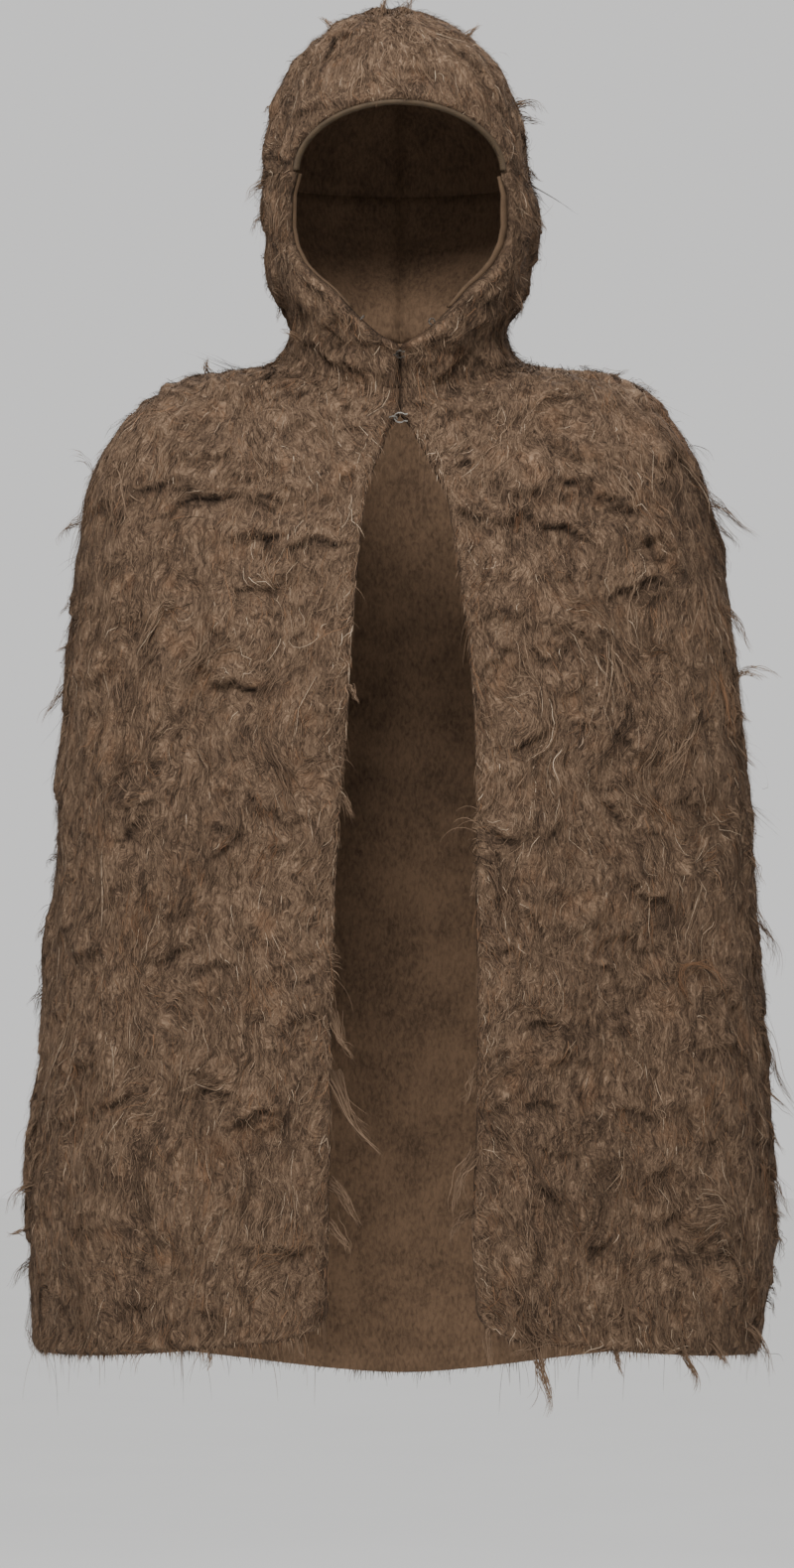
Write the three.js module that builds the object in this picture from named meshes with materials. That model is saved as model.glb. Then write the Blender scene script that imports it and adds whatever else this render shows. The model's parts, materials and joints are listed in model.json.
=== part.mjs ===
// A hooded cape jacket of thick, shaggy brushed wool, in the form it has when worn, with no wearer.
// Millimetres. +Z is up, the wearer faces -Y, and the origin is the middle of the neck base.
// Two fronts and a back hang from a fitted hood of two sides and a two-piece crown. The fronts
// close only at the neck, on a hook and eye, and part below it. A second, dark hook and eye closes
// the collar, and a third pair on the chin edges is left undone.
// Every cloth piece is a wall: its outer face is where the pile ends, its inner face is plain.
// "turn" is the angle round the body from the centre front, positive towards +X.
// "level" is a place between the rings of the levels table, counted from the hem.
import * as THREE from "three";

const wall = 9; // ground cloth with its matted pile
const seamGap = 0.3; // between two cut pieces
const sideSeamTurn = 96; // the seam that runs over the shoulder and down the side
const crownHeight = 130.5; // from the crown seam to the top of the hood
const crownPower = 2; // 2 is a round dome, more is squarer
const crownLean = -6; // the top of the hood leans to the wearer's right
const neckLift = 8; // the closed chin edge above the neck base
const archRise = 50.5; // the top of the face opening above the crown seam
const hemCorner = 22; // radius of the fronts' lower corners

const cloth = {
  rowsDown: 40, // along the cape
  frontColumns: 20,
  backColumns: 36,
  hoodRows: 10,
  crownRows: 10,
};

// Rings of the outer face from the hem up. Heights are at the centre front, the side and the centre
// back, and reaches from the middle to the wearer's right, left, front and back. power rounds the
// ring: 2 is an ellipse, more is squarer.
const levelColumns = ["name", "zFront", "zSide", "zBack", "right", "left", "front", "back", "power"];
const levels = [
  ["hem", -703, -730, -765, 264, 264, 178, 186, 2.45],
  ["hemRise", -655, -677, -706, 274, 273, 177, 182, 2.45],
  ["thigh", -562, -580, -602, 274, 276.5, 174, 174, 2.45],
  ["wrist", -455, -465, -475, 264, 270.5, 170, 163, 2.45],
  ["hip", -340, -346, -350, 257, 262.5, 166, 154, 2.45],
  ["waist", -224, -228, -228, 250.5, 252.5, 159, 147, 2.4],
  ["bust", -140, -139, -135, 243, 242.5, 146, 140, 2.35],
  ["chest", -95, -80, -75, 233, 229, 128, 133, 2.3],
  ["upperArm", -73, -47, -41, 216, 212.5, 115, 125, 2.25],
  ["shoulder", -58, -23, -17, 194, 191.5, 104, 116, 2.2],
  ["shoulderTop", -48, -9, -1, 172, 171, 97, 107, 2.15],
  ["yoke", -39, -2, 10, 147, 147, 91, 98, 2.1],
  ["yokeTop", -30, 1.5, 19, 119, 118, 86, 88, 2.05],
  ["neckSeam", -20, 6.5, 27, 97, 94, 82, 79, 2],
  ["neck", 0, 26, 45, 85.5, 83, 90, 80, 2],
  ["jaw", 21, 46, 63, 90, 94, 98, 89, 2],
  ["cheek", 52, 70, 84, 100.5, 98.5, 102, 101, 2.05],
  ["ear", 93, 99, 106, 102.5, 104, 103, 112, 2.1],
  ["temple", 123, 123, 124, 105.5, 105.5, 103, 119, 2.1],
  ["crownSeam", 140, 140, 140, 105.5, 100.5, 102, 122, 2.1],
].map((row) => Object.fromEntries(row.map((value, i) => [levelColumns[i], value])));
const levelOf = (name) => levels.findIndex((row) => row.name === name);
const neckLevel = levelOf("neckSeam");
const crownLevel = levelOf("crownSeam");
const foldTopLevel = levelOf("chest");

// The fronts part below the neck: how far each edge lies from the middle, at each height.
const frontEdges = [
  { z: -760, left: 52, right: 55 },
  { z: -664, left: 51.5, right: 54 },
  { z: -636, left: 51.5, right: 51 },
  { z: -551, left: 50, right: 55 },
  { z: -459, left: 49, right: 56 },
  { z: -388, left: 47, right: 54.5 },
  { z: -317, left: 42.5, right: 55.5 },
  { z: -259, left: 37.5, right: 53.5 },
  { z: -202, left: 34.5, right: 49.5 },
  { z: -144, left: 30, right: 41 },
  { z: -100, left: 25.5, right: 34.5 },
  { z: -85, left: 22.5, right: 28 },
  { z: -66, left: 14.5, right: 18.5 },
  { z: -55, left: 10.5, right: 12.5 },
  { z: -47, left: 8, right: 8.5 },
  { z: -41, left: 4, right: 4.5 },
  { z: -36, left: 0, right: 0 },
  { z: -20, left: 0, right: 0 },
];

// Half the width of the face opening at each height, up to the crown seam. The arch above is an ellipse.
const faceEdges = [
  { z: -20, halfWidth: 0 },
  { z: neckLift, halfWidth: 0 },
  { z: 17, halfWidth: 17 },
  { z: 29, halfWidth: 31 },
  { z: 41, halfWidth: 43 },
  { z: 52, halfWidth: 53 },
  { z: 62, halfWidth: 65.5 },
  { z: 72, halfWidth: 75 },
  { z: 86, halfWidth: 82.5 },
  { z: 100, halfWidth: 85.5 },
  { z: 124, halfWidth: 84.5 },
  { z: 140, halfWidth: 80 },
];
const archHalfWidth = faceEdges[faceEdges.length - 1].halfWidth;

// Soft vertical folds of the hanging cloth: out where depth is positive. They grow towards the hem.
const folds = [
  { turn: -97, spread: 7, depth: -7 },
  { turn: -84, spread: 6, depth: 7 },
  { turn: -62, spread: 12, depth: -5 },
  { turn: -34, spread: 9, depth: 4 },
  { turn: 30, spread: 8, depth: 4 },
  { turn: 55, spread: 12, depth: -5 },
  { turn: 80, spread: 8, depth: 5 },
  { turn: 104, spread: 8, depth: -7 },
  { turn: 122, spread: 8, depth: 10 },
  { turn: 141, spread: 8, depth: -9 },
  { turn: 160, spread: 8, depth: 11 },
  { turn: 178, spread: 8, depth: -8 },
  { turn: 197, spread: 9, depth: 11 },
  { turn: 217, spread: 8, depth: -9 },
  { turn: 238, spread: 8, depth: 9 },
];

// The largest matted ledges of the pile on the fronts and hood: where the middle of the lower lip is,
// how long the lip is, how it slopes (positive falls towards +X) and how far it stands out.
const ledges = [
  { turn: -53, drop: 152, length: 95, slope: 4, rise: 6 },
  { turn: -36, drop: 190, length: 70, slope: -10, rise: 5 },
  { turn: -27, drop: 228, length: 62, slope: -4, rise: 5 },
  { turn: -66, drop: 128, length: 70, slope: -18, rise: 4.5 },
  { turn: -42, drop: 330, length: 60, slope: 20, rise: 5 },
  { turn: -58, drop: 420, length: 75, slope: -14, rise: 5.5 },
  { turn: -28, drop: 455, length: 58, slope: 10, rise: 4.5 },
  { turn: -45, drop: 560, length: 66, slope: -8, rise: 6 },
  { turn: -66, drop: 610, length: 60, slope: 12, rise: 5 },
  { turn: -30, drop: 660, length: 70, slope: -6, rise: 5.5 },
  { turn: 33, drop: 178, length: 85, slope: 14, rise: 6 },
  { turn: 52, drop: 150, length: 80, slope: 26, rise: 5 },
  { turn: 62, drop: 225, length: 60, slope: 10, rise: 5 },
  { turn: 41, drop: 300, length: 62, slope: -12, rise: 5 },
  { turn: 56, drop: 390, length: 72, slope: 30, rise: 5.5 },
  { turn: 34, drop: 440, length: 60, slope: -16, rise: 4.5 },
  { turn: 50, drop: 520, length: 74, slope: 12, rise: 6 },
  { turn: 68, drop: 560, length: 64, slope: 20, rise: 5 },
  { turn: 35, drop: 610, length: 66, slope: -8, rise: 5.5 },
  { turn: 54, drop: 690, length: 70, slope: 8, rise: 5 },
  { turn: -82, drop: -104, length: 55, slope: -10, rise: 4 },
  { turn: 84, drop: -82, length: 55, slope: 8, rise: 5 },
  { turn: 88, drop: -58, length: 50, slope: -6, rise: 5 },
  { turn: -86, drop: -52, length: 50, slope: 6, rise: 4 },
];
// The smaller ledges lie in staggered tiers all round.
const tiers = { first: 96, pitch: 82, count: 9, round: 12, length: 72, rise: 4.2 };
const ledgeReach = { above: 42, lip: 7, hollow: 24, hollowShare: 0.3 };
const matting = { high: 4.5, low: -2.5, fade: 16 };
const edgeRoll = { width: 20, rise: 2.5, round: 6, drop: 2.5 };

const radians = THREE.MathUtils.degToRad;
const degrees = THREE.MathUtils.radToDeg;
const { lerp, clamp, smoothstep } = THREE.MathUtils;

// A smooth curve through one named column of a table, at a place counted in rows.
function along(table, column, place) {
  const last = table.length - 1;
  const row = clamp(Math.floor(place), 0, last - 1);
  const [a, b, c, d] = [row - 1, row, row + 1, row + 2].map((i) => table[clamp(i, 0, last)][column]);
  const s = place - row;
  return b + 0.5 * s * (c - a + s * (2 * a - 5 * b + 4 * c - d + s * (3 * (b - c) + d - a)));
}

// The same by height, for a table whose z rises from row to row.
function atHeight(table, column, z) {
  const rows = table.length;
  const above = table.findIndex((row) => row.z > z);
  if (above === 0) return table[0][column];
  if (above < 0) return table[rows - 1][column];
  const below = table[above - 1];
  return lerp(below[column], table[above][column], (z - below.z) / (table[above].z - below.z));
}

// How far a ring of unit half sizes reaches at an angle, for a power.
const reach = (sine, cosine, power) => 1 / (Math.abs(sine) ** power + Math.abs(cosine) ** power) ** (1 / power);

function foldDepth(level, turn) {
  const growth = clamp(1 - level / foldTopLevel, 0, 1) ** 1.2;
  return folds.reduce((sum, fold) => {
    const away = THREE.MathUtils.euclideanModulo(turn - fold.turn + 180, 360) - 180;
    return sum + growth * fold.depth * Math.exp(-((away / fold.spread) ** 2));
  }, 0);
}

// The smooth outer face, at a level and a turn in degrees. Above the crown seam the rings close in
// a dome, one level high.
function skin(level, turn) {
  const [sine, cosine] = [Math.sin(radians(turn)), Math.cos(radians(turn))];
  const ringLevel = Math.min(level, crownLevel);
  const at = (column) => along(levels, column, ringLevel);
  const deep = cosine > 0 ? at("front") : at("back");
  const wide = sine < 0 ? at("right") : at("left");
  const radius = reach(sine / wide, cosine / deep, at("power")) + foldDepth(level, turn);
  const centreZ = cosine > 0 ? at("zFront") : at("zBack");
  let z = lerp(at("zSide"), centreZ, cosine * cosine);
  let shrink = 1;
  if (level > crownLevel) {
    const rise = (level - crownLevel) * (Math.PI / 2);
    const dome = reach(Math.sin(rise), Math.cos(rise), crownPower);
    shrink = dome * Math.cos(rise);
    z += crownHeight * dome * Math.sin(rise);
  }
  return new THREE.Vector3(radius * shrink * sine, -radius * shrink * cosine, z);
}

// The dome seen from above as a disc of radius 1, which goes on past its edge into the hood's sides.
function onDisc(x, y) {
  return { level: crownLevel + 1 - Math.hypot(x, y), turn: degrees(Math.atan2(x, -y)) };
}

function discOf(level, turn) {
  const radius = crownLevel + 1 - level;
  return [radius * Math.sin(radians(turn)), -radius * Math.cos(radians(turn))];
}

// The direction straight out of the smooth face.
function outward(level, turn) {
  const step = 0.01;
  let [up, round] = [null, null];
  if (level > crownLevel - 0.5) {
    const [x, y] = discOf(level, turn);
    const point = (u, v) => {
      const place = onDisc(u, v);
      return skin(place.level, place.turn);
    };
    round = point(x + step, y).sub(point(x - step, y));
    up = point(x, y + step).sub(point(x, y - step));
  } else {
    round = skin(level, turn + 0.5).sub(skin(level, turn - 0.5));
    up = skin(level + step, turn).sub(skin(level - step, turn));
  }
  return round.cross(up).normalize();
}

// Levels at equal steps of cloth down the side, between two levels.
function evenLevels(low, high, count) {
  const fine = 400;
  const places = Array.from({ length: fine + 1 }, (_, i) => lerp(low, high, i / fine));
  const lengths = [0];
  for (let i = 1; i <= fine; i++) {
    lengths.push(lengths[i - 1] + skin(places[i], 90).distanceTo(skin(places[i - 1], 90)));
  }
  const at = (length) => {
    const i = clamp(lengths.findIndex((x) => x > length), 1, fine);
    if (lengths.at(-1) <= length) return high;
    return lerp(places[i - 1], places[i], (length - lengths[i - 1]) / (lengths[i] - lengths[i - 1]));
  };
  const total = lengths.at(-1);
  return { at, total, list: Array.from({ length: count + 1 }, (_, i) => at((total * i) / count)) };
}
const capeDown = evenLevels(0, neckLevel, cloth.rowsDown);
const hoodUp = evenLevels(neckLevel, crownLevel, cloth.hoodRows);
const levelAtDrop = (drop) => (drop >= 0 ? capeDown.at(capeDown.total - drop) : hoodUp.at(-drop));

// The tiers' ledges, shifted and varied by fixed waves so that no two rows line up.
function tierLedges() {
  const made = [];
  for (let tier = 0; tier < tiers.count; tier++) {
    for (let i = 0; i < tiers.round; i++) {
      const wave = Math.sin(tier * 12.9 + i * 78.2);
      const other = Math.sin(tier * 39.3 + i * 11.1);
      made.push({
        turn: ((i + 0.5 * (tier % 2) + 0.22 * wave) * 360) / tiers.round,
        drop: tiers.first + tiers.pitch * (tier + 0.28 * other),
        length: tiers.length * (1 + 0.3 * wave),
        slope: 16 * other,
        rise: tiers.rise * (1 + 0.25 * wave),
      });
    }
  }
  return made;
}

// Each ledge as a place on the cloth with its own directions along the lip and down from it.
const ledgePlaces = [...ledges, ...tierLedges()].map((ledge) => {
  const level = levelAtDrop(ledge.drop);
  const centre = skin(level, ledge.turn);
  const out = outward(level, ledge.turn);
  const level0 = new THREE.Vector3(0, 0, 1).cross(out).normalize();
  const lip = level0.applyAxisAngle(out, radians(-ledge.slope));
  return { ...ledge, centre, lip, down: lip.clone().cross(out) };
});

// How far the matted pile stands out of the smooth face at a point.
function pile(point) {
  let sum = 0;
  for (const ledge of ledgePlaces) {
    const from = point.clone().sub(ledge.centre);
    const across = from.dot(ledge.lip) / (ledge.length / 2);
    if (Math.abs(across) >= 1 || from.lengthSq() > ledge.length ** 2) continue;
    const ragged = 5 * Math.sin(across * 7 + ledge.turn);
    const below = from.dot(ledge.down) - ragged;
    const fallen = smoothstep(below, 0, ledgeReach.lip);
    const lift = Math.exp(Math.min(below, 0) / ledgeReach.above) * (1 - fallen);
    const hollow = fallen * Math.exp(-Math.max(below - ledgeReach.lip, 0) / ledgeReach.hollow);
    sum += ledge.rise * Math.cos((across * Math.PI) / 2) ** 2 * (lift - ledgeReach.hollowShare * hollow);
  }
  return clamp(sum, matting.low, matting.high);
}

// The thickened, rounded turn of a free edge, by the distance from it.
function roll(distance) {
  const swell = edgeRoll.rise * (1 - smoothstep(distance, edgeRoll.round, edgeRoll.width));
  return swell - (edgeRoll.rise + edgeRoll.drop) * (1 - smoothstep(distance, 0, edgeRoll.round));
}

// A closed wall from a grid of places. The outer face uses every place and the plain inner face
// every second one. toFreeEdge is the distance to the nearest free edge, and shift moves a whole
// place, which keeps the gap at a seam.
function wallGeometry(rows, columns, placeAt) {
  const line = (i) => Array.from({ length: columns + 1 }, (_, j) => placeAt(i, j));
  const grid = Array.from({ length: rows + 1 }, (_, i) => line(i));
  const points = [];
  const faces = [];
  const add = (point) => points.push(point.x, point.y, point.z) / 3 - 1;
  const outer = grid.map((row) =>
    row.map((place) => {
      const out = outward(place.level, place.turn);
      const base = skin(place.level, place.turn);
      const edge = place.toFreeEdge ?? Infinity;
      const seam = smoothstep(Math.min(place.toSeam ?? Infinity, edge), 0, matting.fade);
      const stand = pile(base) * seam + (edge < edgeRoll.width ? roll(edge) : 0);
      const tidy = (point) => {
        point.add(place.shift ?? new THREE.Vector3());
        if (place.plane) point.x = place.plane;
        return point;
      };
      const inner = tidy(base.clone().addScaledVector(out, -wall));
      return { face: add(tidy(base.clone().addScaledVector(out, stand))), inner };
    }),
  );
  const inner = outer.map((row, i) => row.map((place, j) => (i % 2 || j % 2 ? -1 : add(place.inner))));
  const quad = (a, b, c, d) => faces.push(a, b, c, a, c, d);
  for (let i = 0; i < rows; i++) {
    for (let j = 0; j < columns; j++) {
      quad(outer[i][j].face, outer[i][j + 1].face, outer[i + 1][j + 1].face, outer[i + 1][j].face);
    }
  }
  for (let i = 0; i < rows; i += 2) {
    for (let j = 0; j < columns; j += 2) {
      quad(inner[i][j], inner[i + 2][j], inner[i + 2][j + 2], inner[i][j + 2]);
    }
  }
  // The rim, two outer steps to each inner one. at(k) walks once round the grid.
  const rim = (at, count) => {
    for (let k = 0; k < count; k += 2) {
      const [i0, j0] = at(k);
      const [i1, j1] = at(k + 1);
      const [i2, j2] = at(k + 2);
      const [o0, o1, o2] = [outer[i0][j0].face, outer[i1][j1].face, outer[i2][j2].face];
      const [n0, n2] = [inner[i0][j0], inner[i2][j2]];
      faces.push(o1, o0, n0, o1, n0, n2, o2, o1, n2);
    }
  };
  rim((k) => [0, k], columns);
  rim((k) => [k, columns], rows);
  rim((k) => [rows, columns - k], columns);
  rim((k) => [rows - k, 0], rows);
  return new THREE.BufferGeometry()
    .setAttribute("position", new THREE.Float32BufferAttribute(points, 3))
    .setIndex(faces);
}

// Shares from 0 to 1 in even steps, with some closer ones at the start for a free edge.
function shares(count, close) {
  const even = Array.from({ length: count + 1 - close.length }, (_, i) => i / (count - close.length));
  return [even[0], ...close.map((x) => x / (count - close.length)), ...even.slice(1)];
}

const half = seamGap / 2;

// The columns at the neck seam are the same on the cape and the hood, so that the seams lie alike:
// close ones at the front edge, then even ones to the side seam, then even ones to the centre back.
const frontShares = shares(cloth.frontColumns, [0.2, 0.5]);
const halfBack = cloth.backColumns / 2;
const aroundSide = frontShares.length - 1 + halfBack;
function turnOfColumn(column, edge, side) {
  const front = frontShares.length - 1;
  if (column <= front) return lerp(edge, side * sideSeamTurn, frontShares[column]);
  return side * lerp(sideSeamTurn, 180, (column - front) / halfBack);
}

// The turn at which a ring has a given distance from the middle plane, on the side of that sign.
function turnAt(level, side, distanceAt) {
  let [near, far] = [0, 80];
  for (let i = 0; i < 40; i++) {
    const middle = (near + far) / 2;
    const point = skin(level, side * middle);
    if (Math.abs(point.x) < distanceAt(point.z)) near = middle;
    else far = middle;
  }
  return side * near;
}

function frontEdgeTurn(level, side) {
  const column = side < 0 ? "left" : "right";
  const hemZ = skin(0, 0).z;
  return turnAt(level, side, (z) => {
    const above = clamp(z - hemZ, 0, hemCorner);
    const rounded = hemCorner - Math.sqrt(hemCorner ** 2 - (hemCorner - above) ** 2);
    return Math.max(atHeight([...frontEdges], column, z), half) + rounded;
  });
}

const capeShares = shares(cloth.rowsDown, [0.25, 0.6]);
const capeLevels = capeShares.map((share) => capeDown.at(share * capeDown.total));

// Roughly how far a place lies from the neck seam.
function toNeckSeam(level, turn) {
  return Math.abs(skin(level, turn).z - skin(neckLevel, turn).z) + 8 * Math.abs(level - neckLevel);
}
const upFromHem = (level, turn) => skin(level, turn).distanceTo(skin(0, turn));

// side is -1 for the wearer's right (-X) and 1 for the left (+X).
function capeFront(side) {
  const columns = frontShares.length - 1;
  const rows = capeLevels.length - 1;
  return wallGeometry(rows, columns, (i, j) => {
    const level = capeLevels[i];
    // Columns run towards +X, so that the faces point out.
    const share = frontShares[side > 0 ? j : columns - j];
    const edge = frontEdgeTurn(level, side);
    const turn = lerp(edge, side * sideSeamTurn, share);
    const here = skin(level, turn);
    const closed = atHeight(frontEdges, "left", here.z) === 0;
    const fromEdge = closed ? Infinity : skin(level, edge).distanceTo(here);
    const shift = new THREE.Vector3();
    if (share === 1) shift.addScaledVector(new THREE.Vector3(0, -1, 0), half);
    if (i === rows) shift.z -= half;
    return {
      level,
      turn,
      shift,
      plane: share === 0 && closed ? side * half : 0,
      toFreeEdge: Math.min(fromEdge, upFromHem(level, turn)),
      toSeam: Math.min(
        toNeckSeam(level, turn),
        skin(level, side * sideSeamTurn).distanceTo(here) * 2,
        closed ? Math.abs(here.x) : Infinity,
      ),
    };
  });
}

function capeBack() {
  const rows = capeLevels.length - 1;
  return wallGeometry(rows, cloth.backColumns, (i, j) => {
    const level = capeLevels[i];
    const turn = lerp(sideSeamTurn, 360 - sideSeamTurn, j / cloth.backColumns);
    const here = skin(level, turn);
    const shift = new THREE.Vector3();
    if (j === 0 || j === cloth.backColumns) shift.y += half;
    if (i === rows) shift.z -= half;
    const toSide = Math.min(...[1, -1].map((side) => skin(level, side * sideSeamTurn).distanceTo(here)));
    return {
      level,
      turn,
      shift,
      toFreeEdge: upFromHem(level, turn),
      toSeam: Math.min(toNeckSeam(level, turn), toSide * 2),
    };
  });
}

function faceEdgeTurn(level, side) {
  return turnAt(level, side, (z) => Math.max(atHeight(faceEdges, "halfWidth", z), half));
}

// A side of the hood, from the face edge to the centre back.
function hoodSide(side) {
  const columns = aroundSide;
  return wallGeometry(cloth.hoodRows, columns, (i, j) => {
    const level = hoodUp.list[i];
    const column = side > 0 ? j : columns - j;
    const edge = faceEdgeTurn(level, side);
    const turn = turnOfColumn(column, edge, side);
    const here = skin(level, turn);
    const closed = skin(level, edge).z < neckLift;
    const shift = new THREE.Vector3();
    if (i === 0) shift.z += half;
    if (i === cloth.hoodRows) shift.z -= half;
    let plane = 0;
    if (column === columns || (column === 0 && closed)) plane = side * half;
    return {
      level,
      turn,
      shift,
      plane,
      toFreeEdge: closed ? Infinity : skin(level, edge).distanceTo(here),
      toSeam: Math.min(
        toNeckSeam(level, turn),
        levels[crownLevel].zFront - here.z,
        closed || column > columns / 2 ? Math.abs(here.x) : Infinity,
      ),
    };
  });
}

// The place on the arch over the face, from the crown seam (0) to the middle of the brow (1).
function archPlace(share, side) {
  const angle = (share * Math.PI) / 2;
  const z = levels[crownLevel].zFront + archRise * Math.sin(angle);
  let [low, high] = [crownLevel, crownLevel + 1];
  for (let i = 0; i < 40; i++) {
    const middle = (low + high) / 2;
    if (skin(middle, 0).z < z) low = middle;
    else high = middle;
  }
  const halfWidth = Math.max(archHalfWidth * Math.cos(angle), half);
  return { level: low, turn: turnAt(low, side, () => halfWidth) };
}

// Half of the crown: a patch on the disc between the arch, the centre seam and the seam below.
function hoodCrown(side) {
  const rows = cloth.crownRows;
  const columns = aroundSide - rows;
  const startTurn = faceEdgeTurn(crownLevel, 1);
  const onSeam = (column) => discOf(crownLevel, turnOfColumn(column, startTurn, 1));
  const arch = (v) => {
    const place = archPlace(v, 1);
    return discOf(place.level, place.turn);
  };
  const browRadius = arch(1)[1];
  return wallGeometry(rows, columns, (i, j) => {
    const column = side > 0 ? j : columns - j;
    const [u, v] = [column / columns, i / rows];
    const [low, front, back] = [onSeam(column), arch(v), onSeam(columns + i)];
    const corner = onSeam(columns);
    const high = [0, lerp(browRadius, 1, u)];
    const blend = (k) => {
      const corners = lerp(lerp(onSeam(0)[k], corner[k], u), lerp(k ? browRadius : 0, k, u), v);
      return lerp(low[k], high[k], v) + lerp(front[k], back[k], u) - corners;
    };
    const place = onDisc(side * blend(0), blend(1));
    const onCrownSeam = v === 0 || u === 1;
    if (onCrownSeam) place.level = crownLevel;
    const here = skin(place.level, place.turn);
    const archHere = archPlace(v, side);
    return {
      ...place,
      shift: new THREE.Vector3(0, 0, onCrownSeam ? half : 0),
      plane: v === 1 ? side * half : 0,
      toFreeEdge: skin(archHere.level, archHere.turn).distanceTo(here),
      toSeam: Math.min(Math.abs(here.x), here.z - levels[crownLevel].zFront),
    };
  });
}

// A strip swept along an edge of the cloth. The section's corners are given as how far past the edge
// and how far in from the outer face they lie, and which of the place's turns they start from.
// The places run so that past is into the opening.
function stripGeometry(places, section) {
  const points = [];
  const faces = [];
  places.forEach((place, i) => {
    const [before, after] = [places[Math.max(i - 1, 0)], places[Math.min(i + 1, places.length - 1)]];
    const { past, out } = edgeDirections(before, place, after);
    for (const [edge, depth, back = 0] of section(i / (places.length - 1))) {
      const turn = back ? place.turns[back] : place.turn;
      const inward = place.turns ? outward(place.level, turn) : out;
      const point = skin(place.level, turn).addScaledVector(past, edge).addScaledVector(inward, -depth);
      points.push(point.x, point.y, point.z);
    }
  });
  const sides = section(0).length;
  for (let i = 0; i < places.length - 1; i++) {
    for (let k = 0; k < sides; k++) {
      const [a, b] = [i * sides + k, i * sides + ((k + 1) % sides)];
      faces.push(a, b, b + sides, a, b + sides, a + sides);
    }
  }
  const last = (places.length - 1) * sides;
  for (let k = 1; k < sides - 1; k++) {
    faces.push(0, k + 1, k, last, last + k, last + k + 1);
  }
  return new THREE.BufferGeometry()
    .setAttribute("position", new THREE.Float32BufferAttribute(points, 3))
    .setIndex(faces);
}

function edgeDirections(before, place, after) {
  const out = outward(place.level, place.turn);
  const path = skin(after.level, after.turn).sub(skin(before.level, before.turn)).normalize();
  const past = path.clone().cross(out).normalize();
  return { path, past, out: past.clone().cross(path) };
}

// The narrow binding round the edge of the crown, over both its halves.
function browBinding() {
  const steps = 2 * cloth.crownRows;
  const places = Array.from({ length: steps + 1 }, (_, i) => {
    const share = 1 - Math.abs(i / cloth.crownRows - 1);
    return archPlace(Math.max(share, 0.02), i < cloth.crownRows ? -1 : 1);
  });
  const middle = places[steps / 2];
  middle.turn = 0;
  const { clear, width, top, bottom } = { clear: 0.9, width: 3.2, top: 2.2, bottom: wall - 1 };
  return stripGeometry(places, () => [
    [clear, top + 0.6],
    [clear + width * 0.7, top],
    [clear + width, top + 1.2],
    [clear + width, bottom - 1.2],
    [clear + width * 0.7, bottom],
    [clear, bottom - 0.6],
  ]);
}

// The smooth facing inside the hood's edge, from the crown seam down to the chin. It shows past the
// pile as a narrow band. It lies on the wall's own inner points, moved in.
function cheekFacing(side) {
  const { firstRow, thick, clear } = { firstRow: 4, thick: 1.6, clear: 0.9 };
  const rows = (cloth.hoodRows - firstRow) / 2;
  const [top, bottom] = [wall + clear, wall + clear + thick];
  const places = Array.from({ length: rows + 1 }, (_, i) => {
    const row = firstRow + 2 * (side < 0 ? i : rows - i);
    const level = hoodUp.list[row] - (row === cloth.hoodRows ? 0.01 : 0);
    const turns = [0, 2, 4].map((column) => turnOfColumn(column, faceEdgeTurn(level, side), side));
    return { level, turn: turns[0], turns };
  });
  return stripGeometry(places, (share) => {
    const shows = 1.5 + 6 * Math.sin(Math.PI * share) ** 1.5;
    return [
      [0, top, 2],
      [0, top, 1],
      [shows, top, 0],
      [shows, bottom, 0],
      [0, bottom, 1],
      [0, bottom, 2],
    ];
  });
}

// Bent wire of a round section along a smooth path. The path is given in x towards the other edge,
// y out of the cloth and z along the edge, from a centre.
function wire(path, centre, { past, out, along }, steps) {
  const sides = 6;
  const section = new THREE.Shape(
    Array.from({ length: sides }, (_, k) => {
      const angle = (k / sides) * 2 * Math.PI;
      return new THREE.Vector2(Math.cos(angle), Math.sin(angle)).multiplyScalar(fastener.wire / 2);
    }),
  );
  const turned = path.map(([x, y, z]) =>
    centre.clone().addScaledVector(past, x).addScaledVector(out, y).addScaledVector(along, z),
  );
  const extrudePath = new THREE.CatmullRomCurve3(turned);
  return new THREE.ExtrudeGeometry(section, { steps, extrudePath, bevelEnabled: false });
}

// An eye is a loop with its two feet towards the edge that holds it.
function eyePath(radius, feet) {
  const open = 42;
  const loop = Array.from({ length: 11 }, (_, i) => {
    const angle = radians(lerp(180 - open, open - 180, i / 10));
    return [radius * Math.cos(angle), 0, radius * Math.sin(angle)];
  });
  const [start, end] = [loop[0], loop.at(-1)];
  return [[start[0] - feet, 0, start[2] + 0.4], ...loop, [end[0] - feet, 0, end[2] - 0.4]];
}

// A hook runs out over the eye's far side and turns back under it. Its tail bends down to the cloth.
function hookPath(reachOut, tail, bend) {
  const away = fastener.wire + fastener.clear;
  return [
    [-tail, away - bend, 0],
    [reachOut - 3, away * 1.15, 0],
    [reachOut - 0.8, away * 0.8, 0],
    [reachOut, 0, 0],
    [reachOut - 0.8, -away * 0.8, 0],
    [reachOut - 2.6, -away, 0],
  ];
}

const fastener = { wire: 1.2, clear: 0.35 };
const pair = {
  neck: { z: -43, radius: 4.4, above: 1.6 },
  collar: { z: 5, radius: 2.8, above: 2.1 },
  chinHook: { z: 28.5, side: -1, past: 2.2, radius: 2 },
  chinEye: { z: 25, side: 1, past: 3.2, radius: 2.1 },
};

function levelAtFrontHeight(z) {
  let [low, high] = [0, crownLevel];
  for (let i = 0; i < 40; i++) {
    const middle = (low + high) / 2;
    if (skin(middle, 0).z < z) low = middle;
    else high = middle;
  }
  return low;
}

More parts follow.
